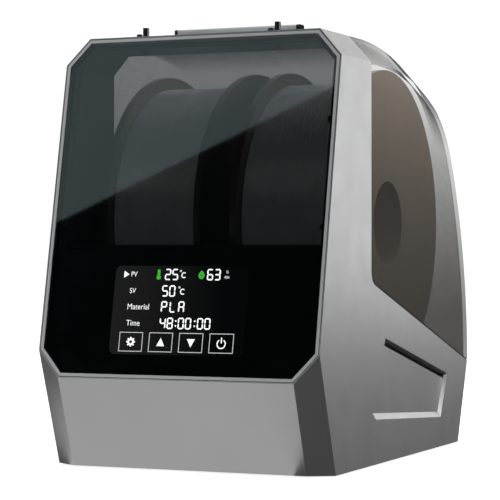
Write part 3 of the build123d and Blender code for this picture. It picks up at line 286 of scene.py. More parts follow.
def clear(name, tint, lit_density, thick, low_z, high_z, edge, roughness, gloss, **sockets):
    """Smoked clear sheet with faint wipe marks.

    Its alpha runs from one density at the lower height to another at the higher height; a denser bottom is
    painted shade, which makes the sheet darker low down, where less light falls.
    Where it is seen edge on, alpha goes towards edge, the tint darkens and the gloss goes to nothing."""
    nodes = Nodes(name)
    wiped = nodes.noise(9.0, detail=6.0, rough=0.62, stretch=(1.0, 1.0, 0.35))
    nodes.link(nodes.spread(wiped, roughness * 0.6, roughness * 1.5), nodes.shader.inputs["Roughness"])
    split = nodes.add("ShaderNodeSeparateXYZ")
    nodes.link(nodes.place, split.inputs["Vector"])
    # Painted shade: alpha by height, denser low down, so the sheet looks darker towards the bottom, where
    # less light falls.
    smoke_and_painted_shade = nodes.ranged(split.outputs["Z"], low_z, high_z, thick, lit_density)
    facing = nodes.add("ShaderNodeLayerWeight")
    facing.inputs["Blend"].default_value = 0.5
    rim = nodes.ranged(facing.outputs["Facing"], RIM_START, RIM_FULL, 0.0, 1.0)
    body = nodes.add("ShaderNodeMix", data_type="RGBA")
    nodes.link(rim, body.inputs["Factor"])
    nodes.link(nodes.blend(wiped, shade(tint, 0.94), shade(tint, 1.06)), body.inputs["A"])
    body.inputs["B"].default_value = (*shade(tint, RIM_SHADE), 1.0)
    nodes.link(body.outputs["Result"], nodes.shader.inputs["Base Color"])
    denser = nodes.add("ShaderNodeMix", data_type="FLOAT")
    nodes.link(rim, denser.inputs["Factor"])
    nodes.link(smoke_and_painted_shade, denser.inputs["A"])
    denser.inputs["B"].default_value = edge
    nodes.link(denser.outputs["Result"], nodes.shader.inputs["Alpha"])
    nodes.link(nodes.ranged(rim, 0.0, 1.0, gloss, 0.0), nodes.shader.inputs["Specular IOR Level"])
    nodes.set(**sockets)
    return nodes.material


def glowing(name, base, strength):
    """Lit figure: plain emission over a dark body."""
    nodes = Nodes(name)
    uneven = nodes.noise(260.0, detail=1.0)
    nodes.link(nodes.blend(uneven, shade(base, 0.96), base), nodes.shader.inputs["Base Color"])
    nodes.set(Roughness=0.5)
    nodes.shader.inputs["Emission Color"].default_value = (*base, 1.0)
    nodes.shader.inputs["Emission Strength"].default_value = strength
    return nodes.material


def circuit(name):
    """Green solder mask with copper tracks under it."""
    nodes = Nodes(name)
    cells = nodes.add("ShaderNodeTexVoronoi", distance="CHEBYCHEV", feature="F1")
    cells.inputs["Scale"].default_value = 130.0
    cells.inputs["Randomness"].default_value = 0.8
    nodes.link(nodes.place, cells.inputs["Vector"])
    tracks = nodes.spread(cells.outputs["Distance"], 0.0, 1.0)
    mask = nodes.blend(tracks, (0.012, 0.09, 0.035), (0.02, 0.16, 0.06))
    nodes.link(mask, nodes.shader.inputs["Base Color"])
    nodes.link(nodes.bump(tracks, 0.3, 0.04 * MM).outputs["Normal"], nodes.shader.inputs["Normal"])
    nodes.set(Roughness=0.3)
    return nodes.material


def fins(name, base):
    """Rolled fins: fine ridges across the length, with painted shade that darkens the colour in the grooves
    between them.
    """
    nodes = Nodes(name)
    ridges = nodes.add("ShaderNodeTexWave", wave_type="BANDS", bands_direction="Y")
    ridges.inputs["Scale"].default_value = 160.0
    ridges.inputs["Distortion"].default_value = 0.4
    nodes.link(nodes.place, ridges.inputs["Vector"])
    # Painted shade: the colour is darker in the grooves, where the ridge height is low.
    nodes.link(nodes.blend(ridges.outputs["Fac"], shade(base, 0.8), base), nodes.shader.inputs["Base Color"])
    ridged = nodes.bump(ridges.outputs["Fac"], 0.4, 0.1 * MM)
    nodes.link(ridged.outputs["Normal"], nodes.shader.inputs["Normal"])
    nodes.set(Metallic=1.0, Roughness=0.35)
    return nodes.material


def wear(nodes_of, material):
    """Puts one material on a set of packed parts or new pieces."""
    for name in nodes_of:
        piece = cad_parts.get(name) or bpy.data.objects[name]
        piece.data.materials.clear()
        piece.data.materials.append(material)


# ---------------------------------------------------------------- meshes
def mesh_piece(name, corners, faces, body, finish, smooth=True):
    """One piece from its corners and faces, riding on a body and wearing a finish."""
    data = bpy.data.meshes.new(name)
    data.from_pydata(corners.tolist(), [], faces)
    data.polygons.foreach_set("use_smooth", np.full(len(data.polygons), smooth))
    data.update()
    piece = bpy.data.objects.new(name, data)
    bpy.context.scene.collection.objects.link(piece)
    data.materials.append(finish)
    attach(piece, body)
    return piece


def ring_faces(rows, columns):
    """Quads of a grid that closes both ways: row r joins row r + 1 and column c joins column c + 1."""
    r, c = np.meshgrid(np.arange(rows), np.arange(columns), indexing="ij")
    here, across = r * columns + c, r * columns + (c + 1) % columns
    ahead, corner = ((r + 1) % rows) * columns + c, ((r + 1) % rows) * columns + (c + 1) % columns
    return np.stack([here, ahead, corner, across], axis=-1).reshape(-1, 4)


def on_panel(across, up, depth):
    """Points on the leaning front: across from the middle, up from the module's foot, depth behind it."""
    across, up, depth = np.broadcast_arrays(across, up, depth)
    return (
        MODULE_FOOT
        + across[..., None] * np.array([1.0, 0.0, 0.0])
        + up[..., None] * UP_PANEL
        + depth[..., None] * INTO_PANEL
    )


def panel_height(z):
    """Distance up the front from the module's foot for a height that is measured at the outer face."""
    return (z - DISPLAY_FOOT_Z) / math.cos(PANEL_LEAN)


def prisms(outlines, front, back):
    """Corners and faces of n prisms from outlines (n, k, 2) that run anticlockwise, between two depths.

    Each prism has a front cap, a back cap and a band of quads between the two loops."""
    outlines = np.asarray(outlines, float)
    count, size = outlines.shape[:2]
    loops = [on_panel(outlines[..., 0], outlines[..., 1], np.full((count, size), d)) for d in (front, back)]
    corners = np.stack(loops, axis=1).reshape(-1, 3)
    base = np.arange(count)[:, None] * 2 * size
    step = np.arange(size)[None, :]
    front_cap = base + step
    back_cap = base + size + step[:, ::-1]
    near, far = base + step, base + (step + 1) % size
    sides = np.stack([near, near + size, far + size, far], axis=-1).reshape(-1, 4)
    return corners, [*front_cap.tolist(), *back_cap.tolist(), *sides.tolist()]


def display_piece(name, outlines, finish):
    """Flat figures on the display's film: a list of arrays (n, k, 2), each made into prisms."""
    corners, faces = [], []
    for group in outlines:
        group_corners, group_faces = prisms(group, FIGURE_FRONT, FILM_FRONT)
        offset = sum(len(c) for c in corners)
        corners.append(group_corners)
        faces.extend([[index + offset for index in face] for face in group_faces])
    return mesh_piece(name, np.concatenate(corners), faces, "housing", finish, smooth=False)


SEGMENTS = {
    "top": ((0, 2), (1, 2)),
    "upper_left": ((0, 1), (0, 2)),
    "upper_right": ((1, 1), (1, 2)),
    "middle": ((0, 1), (1, 1)),
    "lower_left": ((0, 0), (0, 1)),
    "lower_right": ((1, 0), (1, 1)),
    "bottom": ((0, 0), (1, 0)),
}
SEGMENT_ORDER = tuple(SEGMENTS)
LIT = {
    "0": "1110111",
    "2": "1011101",
    "3": "1011011",
    "4": "0111010",
    "5": "1101011",
    "6": "1101111",
    "8": "1111111",
    "P": "1111100",
    "L": "0100101",
    "A": "1111110",
}


def bars(starts, ends, thickness, gap):
    """Six-sided bars from starts to ends (n, 2).

    Their sides are parallel, and both ends are cut to a point that stops short by gap."""
    along = ends - starts
    reach = np.linalg.norm(along, axis=1, keepdims=True)
    along = along / reach
    side = np.stack([-along[:, 1], along[:, 0]], axis=1) * thickness / 2
    tip = along * gap
    shoulder = along * (gap + thickness / 2)
    return np.stack(
        [starts + tip, starts + shoulder - side, ends - shoulder - side, ends - tip,
         ends - shoulder + side, starts + shoulder + side],
        axis=1,
    )


def digits(text, left, middle, height, width, pitch, thickness, gap):
    """Segment figures in a row. Each lit segment is a bar between two corners of a box of two squares."""
    groups = []
    for place, sign in enumerate(text):
        if sign not in LIT:
            continue
        lit = [SEGMENTS[name] for name, on in zip(SEGMENT_ORDER, LIT[sign]) if on == "1"]
        ends = np.array(lit, float)
        ends[..., 0] = left + place * pitch + thickness / 2 + ends[..., 0] * (width - thickness)
        ends[..., 1] = middle + (ends[..., 1] - 1) * (height - thickness) / 2
        groups.append(bars(ends[:, 0], ends[:, 1], thickness, gap))
    return groups


def disc(x, y, radius, sides=20):
    """One round outline."""
    turn = np.linspace(0, 2 * np.pi, sides, endpoint=False)
    return np.stack([x + radius * np.cos(turn), y + radius * np.sin(turn)], axis=1)[None]


def arc_band(x, y, inner, outer, start, stop, steps):
    """Quads of a band between two radii, which may vary with the angle, from start to stop in degrees."""
    turn = np.radians(np.linspace(start, stop, steps + 1))
    inner = np.broadcast_to(inner, turn.shape)
    outer = np.broadcast_to(outer, turn.shape)
    near = np.stack([x + inner * np.cos(turn), y + inner * np.sin(turn)], axis=1)
    far = np.stack([x + outer * np.cos(turn), y + outer * np.sin(turn)], axis=1)
    return np.stack([near[:-1], far[:-1], far[1:], near[1:]], axis=1)


def frame_bars(x, y, width, height, thickness):
    """Four square-ended bars round a rectangle."""
    w, h, t = width / 2, height / 2, thickness
    boxes = np.array(
        [[-w, -h, w, -h + t], [-w, h - t, w, h], [-w, -h + t, -w + t, h - t], [w - t, -h + t, w, h - t]]
    )
    x0, y0, x1, y1 = boxes.T
    loop = [x0 + x, y0 + y, x1 + x, y0 + y, x1 + x, y1 + y, x0 + x, y1 + y]
    return np.stack(loop, axis=1).reshape(-1, 4, 2)


def profile_strip(x, heights, half_widths):
    """Quads of an upright shape from its half width at each height."""
    left = np.stack([x - half_widths, heights], axis=1)
    right = np.stack([x + half_widths, heights], axis=1)
    return np.stack([left[:-1], right[:-1], right[1:], left[1:]], axis=1)


def lettering(name, text, x, middle, height, finish, stretch=1.0):
    """Plain lettering: a text outline made a mesh, centred on its height, laid on the display's film."""
    curve = bpy.data.curves.new(name, "FONT")
    curve.body = text
    curve.size = 1.0
    curve.extrude = 0.0
    holder = bpy.data.objects.new(name + "_outline", curve)
    bpy.context.scene.collection.objects.link(holder)
    bpy.context.view_layer.update()
    made = bpy.data.meshes.new_from_object(holder.evaluated_get(bpy.context.evaluated_depsgraph_get()))
    bpy.data.objects.remove(holder)
    flat = np.zeros(len(made.vertices) * 3)
    made.vertices.foreach_get("co", flat)
    flat = flat.reshape(-1, 3)
    capital = flat[:, 1].max()
    size = height / capital
    across = x + (flat[:, 0] - flat[:, 0].min()) * size * stretch
    up = middle - height / 2 + flat[:, 1] * size
    placed = on_panel(across, up, np.full(len(flat), FIGURE_FRONT))
    made.vertices.foreach_set("co", placed.ravel())
    made.update()
    made.name = name
    piece = bpy.data.objects.new(name, made)
    bpy.context.scene.collection.objects.link(piece)
    made.materials.clear()
    made.materials.append(finish)
    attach(piece, "housing")
    return piece


DISPLAY_FOOT_Z = 87.9 * MM
FILM_FRONT = -0.08 * MM
FILM_BACK = -0.01 * MM
FIGURE_FRONT = -0.16 * MM
WINDOW_LOW_Z = 72.4 * MM
WINDOW_HIGH_Z = 126.2 * MM
WINDOW_HALF_WIDTH = 44.7 * MM
WINDOW_CORNER = 3.8 * MM
ROW_Z = (121.0 * MM, 111.0 * MM, 101.4 * MM, 91.5 * MM)
KEY_Z = 80.0 * MM
KEY_X = (-30.3 * MM, -10.1 * MM, 10.1 * MM, 30.3 * MM)
KEY_WIDTH = 16.0 * MM
KEY_HEIGHT = 12.0 * MM
KEY_LINE = 0.45 * MM
WORD_SHARE = 0.85
SIGN_SHARE = 0.8
KEY_SHARE = 0.45
FILM_FADE = 0.6
FILM_LIT = (0.085, 0.085, 0.087)
FILM_DARK = (0.006, 0.006, 0.0065)


CAMERA_PLACE = (0.5276, -1.2417, 0.1352)
CARD_RATIO = 2.0
CARD_FADE = 0.45
CARD_OUTLINE = ((-0.30, 0.000), (0.092, 0.178), (0.092, 0.40), (-0.30, 0.40))
CARD_LEFT = 0.9
CARD_RIGHT = 0.85
CAMERA_LENS = 145.4
CAMERA_TURN = 23.64
FLOOR_HALF = 6.0
FLOOR_REAR = 5.0
FLOOR_LIGHT = 0.85
SIDE_CARD = ((0.22, 1.33, 0.05), (1.25, 1.20, 0.05), (1.25, 1.20, 0.58), (0.22, 1.33, 0.58))
SIDE_CARD_LOW = ((0.05, 1.36, -0.50), (1.25, 1.21, -0.50), (1.25, 1.21, 0.05), (0.05, 1.36, 0.05))
SIDE_LOW_SHARE = 0.03
FRONT_CARD = ((-0.20, -0.60, 0.0005), (0.07, -0.60, 0.0005), (0.07, -0.130, 0.0005), (-0.20, -0.130, 0.0005))
FLOOR_GLOW = 0.10
HORIZON_GLOW = 0.004
SKY_GLOW = 0.7


# ---------------------------------------------------------------- operators
class DRYER_OT_shell(bpy.types.Operator):
    """Paints the casing and the bezel and finishes the hinge bar"""

    bl_idname = "dryer.shell"
    bl_label = "Shell and trim"

    def execute(self, context):
        chosen = settings("dryer_shell")
        wear(
            ["outer_casing"],
            moulded(
                "silver_paint", chosen.paint, chosen.paint_roughness, grain=2400.0, depth=0.012, mottle=0.03,
                wander=0.035, Metallic=chosen.paint_metal, Coat_Weight=0.15, Coat_Roughness=0.25,
            ),
        )
        wear(
            ["front_bezel"],
            moulded(
                "bezel_paint", chosen.bezel, 0.3, grain=2400.0, depth=0.01, mottle=0.02, wander=0.03,
                Metallic=0.05, Coat_Weight=0.1, Coat_Roughness=0.2,
            ),
        )
        wear(["hinge_bar"], brushed("hinge_bar_metal", chosen.bar, "X", 0.36, 0.3))
        return {"FINISHED"}


class DRYER_OT_dark_parts(bpy.types.Operator):
    """Finishes the black plastic, the rubber, the steel and the parts inside the base"""

    bl_idname = "dryer.dark_parts"
    bl_label = "Black parts and insides"

    def execute(self, context):
        chosen = settings("dryer_shell")
        textured = moulded("black_plastic", chosen.plastic, 0.5, grain=1500.0, depth=0.05, mottle=0.12)
        wear(
            [
                "base_plate", "air_duct", "fan_frame", "fan_rotor", "humidity_sensor", "intake_grille",
                "outlet_grille", "roller_cradle_front", "roller_cradle_rear", "panel_clips",
                "chamber_front_wall", "chamber_floor",
            ],
            textured,
        )
        wear(
            ["chamber_liner"],
            moulded("chamber_plastic", shade(chosen.plastic, 1.6), 0.42, grain=1200.0, depth=0.04),
        )
        wear(
            ["hinge_bracket_left", "hinge_bracket_right", "guide_tube_left", "guide_tube_right"],
            moulded("gloss_black", (0.012, 0.012, 0.013), 0.24, grain=700.0, depth=0.01, Coat_Weight=0.4),
        )
        wear(
            ["power_inlet"],
            moulded("inlet_plastic", (0.02, 0.02, 0.022), 0.38, grain=1100.0, depth=0.03),
        )
        wear(
            ["rubber_feet", "lid_seal", "outlet_plug_left", "outlet_plug_right", "touch_key_pads"]
            + [f"rollers_{end}_{hand}" for end in ENDS for hand in HANDS],
            moulded("rubber", chosen.rubber, 0.72, grain=1800.0, depth=0.06, mottle=0.2),
        )
        wear(
            ["base_screws", "hinge_screws", "hinge_bar_screws", "hinge_pin"]
            + [f"roller_axle_{end}_{hand}" for end in ENDS for hand in HANDS],
            brushed("steel", (0.52, 0.52, 0.53), "X", 0.28),
        )
        wear(["heater_frame"], moulded("heater_board", (0.25, 0.17, 0.09), 0.6, depth=0.05))
        wear(["heater_core"], fins("heater_fins", (0.72, 0.72, 0.72)))
        wear(["display_board", "power_supply", "control_board"], circuit("circuit_board"))
        return {"FINISHED"}


class DRYER_OT_glass(bpy.types.Operator):
    """Smoked front glass, the black print behind it and the smoked lid, with painted shade that makes the
    lid denser and darker towards the bottom
    """

    bl_idname = "dryer.glass"
    bl_label = "Glass and lid"

    def execute(self, context):
        chosen = settings("dryer_glass")
        wear(
            ["front_panel"],
            clear(
                "smoked_glass", chosen.tint, chosen.density, chosen.density, 0.0, 1.0, 0.85, 0.02, 0.5,
                Coat_Weight=0.6, Coat_Roughness=0.02,
            ),
        )
        # Smoked lid with painted shade: denser and darker towards the bottom.
        wear(
            ["lid_shell"],
            clear(
                "smoked_lid", chosen.lid_tint, chosen.lid_density_lit_top, chosen.lid_density_shaded_low, chosen.lid_shade_low_z,
                chosen.lid_shade_high_z, 0.9, 0.07, 0.35,
            ),
        )
        wear(
            ["panel_mask"],
            moulded(
                "black_print", chosen.printed, 0.2, grain=600.0, depth=0.004, mottle=0.05, Coat_Weight=0.5,
            ),
        )
        return {"FINISHED"}


class DRYER_OT_display(bpy.types.Operator):
    """Display film with its figures, words, signs and touch key outlines"""

    bl_idname = "dryer.display"
    bl_label = "Display"

    def execute(self, context):
        chosen = settings("dryer_display")
        white = glowing("figure_white", tuple(chosen.white), chosen.glow)
        dim = glowing("word_white", tuple(chosen.white), chosen.glow * WORD_SHARE)
        green = glowing("sign_green", tuple(chosen.green), chosen.glow * SIGN_SHARE)
        wear(["display_module"], moulded("module_plastic", (0.01, 0.01, 0.011), 0.3, depth=0.01))
        self.film()
        self.figures(chosen, white)
        self.words(dim)
        self.signs(white, green)
        self.keys(white, glowing("key_line", tuple(chosen.white), chosen.glow * KEY_SHARE))
        return {"FINISHED"}

    def film(self):
        """Rounded rectangle: each corner is a quarter circle, and the loop closes on itself."""
        quarter = np.radians(np.linspace(0, 90, 7))
        low, high = panel_height(WINDOW_LOW_Z), panel_height(WINDOW_HIGH_Z)
        centre_x = np.array([1, -1, -1, 1]) * (WINDOW_HALF_WIDTH - WINDOW_CORNER)
        centre_y = np.array([high - WINDOW_CORNER] * 2 + [low + WINDOW_CORNER] * 2)
        turn = quarter[None, :] + np.radians([0, 90, 180, 270])[:, None]
        across = centre_x[:, None] + WINDOW_CORNER * np.cos(turn)
        up = centre_y[:, None] + WINDOW_CORNER * np.sin(turn)
        outline = np.stack([across, up], axis=-1).reshape(1, -1, 2)
        corners, faces = prisms(outline, FILM_FRONT, FILM_BACK)
        nodes = Nodes("display_film")
        split = nodes.add("ShaderNodeSeparateXYZ")
        nodes.link(nodes.place, split.inputs["Vector"])
        fade = nodes.ranged(split.outputs["X"], -WINDOW_HALF_WIDTH, FILM_FADE * WINDOW_HALF_WIDTH, 0.0, 1.0)
        lit = nodes.blend(fade, FILM_LIT, FILM_DARK)
        nodes.link(lit, nodes.shader.inputs["Base Color"])
        nodes.link(lit, nodes.shader.inputs["Emission Color"])
        nodes.set(Roughness=0.35, Emission_Strength=1.0)
        mesh_piece("display_face", corners, faces, "housing", nodes.material, smooth=False)

    def figures(self, chosen, white):
        """The four rows of segment figures and the colons between hours, minutes and seconds."""
        height, width, pitch = chosen.digit_height, chosen.digit_width, chosen.digit_pitch
        thick, gap = 0.82 * MM, 0.1 * MM
        groups = []
        for text, left, row in (("25", -10.9, 0), ("63", 17.3, 0), ("50", -12.0, 1), ("PLA", -11.8, 2)):
            step = pitch if text != "PLA" else 5.8 * MM
            groups += digits(text, left * MM, panel_height(ROW_Z[row]), height, width, step, thick, gap)
        clock = panel_height(ROW_Z[3])
        for text, left in (("48", -11.8), ("00", 0.4), ("00", 13.2)):
            groups += digits(text, left * MM, clock, height, width, pitch, thick, gap)
        for x in (-1.0, 11.6):
            groups += [disc(x * MM, clock + lift * MM, 0.5 * MM) for lift in (-1.5, 1.5)]
        display_piece("display_figures", groups, white)

    def words(self, dim):
        """Row names and units in plain capitals and small letters."""
        for name, text, x, row, tall, lift, stretch in (
            ("word_present", "PV", -33.8, 0, 3.1, 0.1, 0.85),
            ("word_set", "SV", -33.9, 1, 3.1, 0.1, 0.9),
            ("word_material", "Material", -34.5, 2, 3.4, 0.0, 0.93),
            ("word_time", "Time", -34.4, 3, 3.4, 0.0, 0.90),
            ("unit_humidity_sign", "%", 29.9, 0, 1.8, 1.7, 0.9),
            ("unit_humidity", "RH", 29.2, 0, 1.7, -1.6, 0.95),
        ):
            lettering(name, text, x * MM, panel_height(ROW_Z[row]) + lift * MM, tall * MM, dim, stretch)
        for name, row in (("unit_present", 0), ("unit_set", 1)):
            middle = panel_height(ROW_Z[row])
            lettering(name, "c", 0.15 * MM, middle - 0.35 * MM, 3.6 * MM, dim, 1.0)
            display_piece(
                name + "_degree",
                [arc_band(-0.45 * MM, middle + 2.2 * MM, 0.28 * MM, 0.62 * MM, 0, 360, 16)],
                dim,
            )

    def signs(self, white, green):
        """Marker triangle, thermometer from its half width at each height, and drop with a dark leaf."""
        row = panel_height(ROW_Z[0])
        marker = np.array([[[-38.7, -2.1], [-35.2, 0.0], [-38.7, 2.1]]]) * MM
        marker[..., 1] += row
        display_piece("sign_marker", [marker], white)
        rise = np.linspace(-1.0, 1.0, 25)
        bulb = np.sqrt(np.clip(1 - ((rise + 0.62) / 0.38) ** 2, 0, 1)) * 1.55
        cap = np.clip((rise - 0.7) / 0.3, 0, 1)
        stem = np.where(rise > -0.7, 0.95 * np.sqrt(np.clip(1 - cap**2, 0, 1)), 0)
        display_piece(
            "sign_thermometer",
            [profile_strip(-15.1 * MM, row + rise * 3.25 * MM, np.maximum(bulb, stem) * MM)],
            green,
        )
        drop = np.sqrt(np.clip(1 - rise**2, 0, 1)) * (1 - 0.42 * np.clip(rise, 0, 1)) * 2.05
        display_piece(
            "sign_drop",
            [profile_strip(13.6 * MM, row + (rise * 2.6 - 0.2) * MM, drop * MM)],
            green,
        )
        dark = moulded("sign_dark", (0.004, 0.02, 0.004), 0.4)
        leaf = arc_band(12.8 * MM, row - 1.5 * MM, 1.25 * MM, 1.65 * MM, 5, 85, 8)
        piece = display_piece("sign_drop_leaf", [leaf], dark)
        lift = np.zeros(len(piece.data.vertices) * 3)
        piece.data.vertices.foreach_get("co", lift)
        piece.data.vertices.foreach_set("co", (lift.reshape(-1, 3) - INTO_PANEL * 0.02 * MM).ravel())

    def keys(self, white, line):
        """Four outlined touch keys: cog, up, down and power."""
        middle = panel_height(KEY_Z)
        outlines = [frame_bars(x, middle, KEY_WIDTH, KEY_HEIGHT, KEY_LINE) for x in KEY_X]
        display_piece("key_outlines", outlines, line)
        turn = np.linspace(0, 360, 49)
        teeth = 2.55 + 0.42 * np.tanh(3.0 * np.cos(np.radians(turn * 8)))
        cog = arc_band(KEY_X[0], middle, 1.0 * MM, teeth * MM, 0, 360, 48)
        up = np.array([[[-2.6, -2.3], [2.6, -2.3], [0.0, 2.7]]]) * MM + np.array([KEY_X[1], middle])
        down = np.array([[[-2.6, 2.3], [0.0, -2.7], [2.6, 2.3]]]) * MM + np.array([KEY_X[2], middle])
        power = arc_band(KEY_X[3], middle - 0.3 * MM, 2.35 * MM, 3.0 * MM, 122, 418, 36)
        x, y = KEY_X[3], middle + 0.2 * MM
        stroke = np.array([[[-0.33, 0.0], [0.33, 0.0], [0.33, 3.4], [-0.33, 3.4]]]) * MM + np.array([x, y])
        display_piece("key_signs", [cog, up, down, power, stroke], white)


class DRYER_OT_windings(bpy.types.Operator):
    """Spools, and filament wound on them strand by strand"""

    bl_idname = "dryer.windings"
    bl_label = "Spools and filament"

    def execute(self, context):
        chosen = settings("dryer_spools")
        spool = moulded(
            "spool_plastic", chosen.flange, 0.34, grain=1300.0, depth=0.03, mottle=0.08, Coat_Weight=0.2
        )
        parts = ("core", "inner_flange", "outer_flange")
        wear([f"spool_{part}_{hand}" for part in parts for hand in HANDS], spool)
        strand = self.strand_finish(chosen)
        for hand in HANDS:
            self.winding(hand, chosen, strand)
        return {"FINISHED"}

    def strand_finish(self, chosen):
        """Glossy strand with faint changes of colour and gloss round the turn."""
        return moulded(
            "filament_gloss", chosen.strand_colour, 0.3, grain=500.0, depth=0.02, mottle=0.25, wander=0.1,
            Coat_Weight=0.5, Coat_Roughness=0.15,
        )

    def winding(self, hand, chosen, strand):
        """Closed ring carried round the spool's axis.

        Its outer profile is a row of half rounds, one for each strand, with a radius that wanders a little
        from strand to strand and slowly round the turn; its inner profile is the drum's radius."""
        low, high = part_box(f"filament_{hand}")
        centre_y, centre_z = (low.y + high.y) / 2, (low.z + high.z) / 2
        outer = (high.z - low.z) / 2
        core_low, core_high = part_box(f"spool_core_{hand}")
        inner = (core_high.z - core_low.z) / 2
        margin = 0.15 * MM
        strands = int((high.x - low.x - 2 * margin) / chosen.strand)
        pitch = (high.x - low.x - 2 * margin) / strands
        across = np.linspace(0, 1, 6, endpoint=False)
        index = np.repeat(np.arange(strands), len(across))
        local = np.tile(across, strands)
        x = low.x + margin + (index + local) * pitch
        hump = np.sqrt(np.clip(1 - (2 * local - 1) ** 2, 0, 1)) * pitch / 2
        draw = np.random.default_rng(7)
        uneven = draw.uniform(-1.0, 0.0, strands)[index] * 0.14 * MM
        base = outer - pitch / 2 + uneven
        profile_x = np.concatenate([x, [high.x - margin, high.x - margin, low.x + margin]])
        profile_r = np.concatenate([base + hump, [outer - pitch, inner + 0.05 * MM, inner + 0.05 * MM]])
        turn = np.linspace(0, 2 * np.pi, 144, endpoint=False)[:, None]
        phase = np.concatenate([draw.uniform(0, 2 * np.pi, strands)[index], np.zeros(3)])
        sway = np.concatenate([np.full(len(x), 0.05 * MM), np.zeros(3)])
        radius = profile_r[None, :] + sway * (np.sin(2 * turn + phase[None, :]) - 1) / 2
        points = np.stack(
            [
                np.broadcast_to(profile_x[None, :], radius.shape),
                centre_y + radius * np.cos(turn),
                centre_z + radius * np.sin(turn),
            ],
            axis=-1,
        )
        rows, columns = radius.shape
        piece = mesh_piece(
            f"wound_filament_{hand}", points.reshape(-1, 3), ring_faces(rows, columns).tolist(),
            f"spool_{hand}", strand,
        )
        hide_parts(f"filament_{hand}")


class DRYER_OT_stage(bpy.types.Operator):
    """Pale floor, soft light and the camera"""

    bl_idname = "dryer.stage"
    bl_label = "Stage"

    def execute(self, context):
        chosen = settings("dryer_stage")
        self.world()
        self.floor(chosen)
        self.lights(chosen)
        self.reflected_card(chosen)
        self.camera()
        return {"FINISHED"}

    def world(self):
        """Surroundings that are dim at the horizon, pale overhead and faintly lit from the floor."""
        world = bpy.data.worlds.new("studio")
        bpy.context.scene.world = world
        world.use_nodes = True
        tree = world.node_tree
        place = tree.nodes.new("ShaderNodeTexCoord")
        split = tree.nodes.new("ShaderNodeSeparateXYZ")
        shift = tree.nodes.new("ShaderNodeMapRange")
        ramp = tree.nodes.new("ShaderNodeValToRGB")
        shift.inputs["From Min"].default_value = -1.0
        tree.links.new(place.outputs["Generated"], split.inputs["Vector"])
        tree.links.new(split.outputs["Z"], shift.inputs["Value"])
        tree.links.new(shift.outputs["Result"], ramp.inputs["Fac"])
        tree.links.new(ramp.outputs["Color"], tree.nodes["Background"].inputs["Color"])
        stops = ramp.color_ramp.elements
        stops[0].position, stops[0].color = 0.30, (*[FLOOR_GLOW] * 3, 1.0)
        stops[1].position, stops[1].color = 1.00, (*[SKY_GLOW] * 3, 1.0)
        for position, value in ((0.46, FLOOR_GLOW), (0.49, HORIZON_GLOW), (0.72, HORIZON_GLOW)):
            stops.new(position).color = (value, value, value, 1.0)

    def sheet(self, name, outline, base, glow):
        """A flat stage sheet from its corners, with its own glow."""
        data = bpy.data.meshes.new(name)
        data.from_pydata([tuple(corner) for corner in outline], [], [list(range(len(outline)))])
        sheet = bpy.data.objects.new(name, data)
        bpy.context.scene.collection.objects.link(sheet)
        material = bpy.data.materials.new(name)
        material.use_nodes = True
        shader = material.node_tree.nodes["Principled BSDF"]
        shader.inputs["Base Color"].default_value = (*base, 1.0)
        shader.inputs["Roughness"].default_value = 0.9
        shader.inputs["Specular IOR Level"].default_value = 0.0
        shader.inputs["Emission Color"].default_value = (1.0, 1.0, 1.0, 1.0)
        shader.inputs["Emission Strength"].default_value = glow
        data.materials.append(material)
        sheet.visible_diffuse = False
        sheet.visible_shadow = False
        return sheet, shader

    def floor(self, chosen):
        """Floor seen by the camera only, an upright backdrop, and cards that show only as reflections."""
        left, right = -FLOOR_HALF, FLOOR_HALF
        near = [(left, -FLOOR_HALF, 0), (right, -FLOOR_HALF, 0)]
        far = [(right, FLOOR_REAR, 0), (left, FLOOR_REAR, 0)]
        floor, _ = self.sheet("floor", near + far, chosen.floor, FLOOR_LIGHT)
        floor.visible_glossy = False
        high = [(right, FLOOR_REAR, FLOOR_HALF), (left, FLOOR_REAR, FLOOR_HALF)]
        self.sheet("backdrop", far[::-1] + high, chosen.floor, 1.0)
        for name, outline, glow in (
            ("side_card", SIDE_CARD, chosen.side_glow),
            ("side_card_low", SIDE_CARD_LOW, chosen.side_glow * SIDE_LOW_SHARE),
            ("front_card", FRONT_CARD, chosen.front_glow),
        ):
            card, _ = self.sheet(name, outline, (0.0, 0.0, 0.0), glow)
            card.visible_camera = False
            if name != "front_card":
                self.aim(card, ["outer_casing"])

    def aim(self, source, names):
        """Keeps the light of a card or a lamp to the named parts and pieces."""
        lit = bpy.data.collections.new(source.name + "_lit")
        for name in names:
            lit.objects.link(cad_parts.get(name) or bpy.data.objects[name])
        source.light_linking.receiver_collection = lit

    def lights(self, chosen):
        """Soft boxes, each turned to the middle of the box; none shows in the picture itself."""
        middle = (CAD_BOX[0] + CAD_BOX[1]) / 2
        lining = [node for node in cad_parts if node.startswith(("chamber_liner", "roller"))]
        aimed = {
            "chamber": lining + [f"wound_filament_{hand}" for hand in HANDS],
            "flank": [f"spool_outer_flange_{hand}" for hand in HANDS],
        }
        for name, place, width, height, power in (
            ("key", (0.95, 0.10, 0.62), 0.6, 0.6, chosen.key_power),
            ("front_low", (-0.60, -1.20, 0.10), 0.9, 0.16, chosen.fill_power),
            ("top", (-0.1, 0.2, 1.4), 0.9, 0.9, chosen.top_power),
            ("chamber", (0.10, -0.95, 0.80), 0.5, 0.5, chosen.chamber_power),
            ("flank", (0.28, 0.20, 0.42), 0.1, 0.1, chosen.flank_power),
        ):
            data = bpy.data.lights.new(name, "AREA")
            data.shape = "RECTANGLE"
            data.energy = power
            data.size = width
            data.size_y = height
            lamp = bpy.data.objects.new(name, data)
            lamp.location = place
            lamp.rotation_euler = (middle - Vector(place)).to_track_quat("-Z", "Y").to_euler()
            lamp.visible_camera = False
            bpy.context.scene.collection.objects.link(lamp)
            if name in aimed:
                self.aim(lamp, aimed[name])

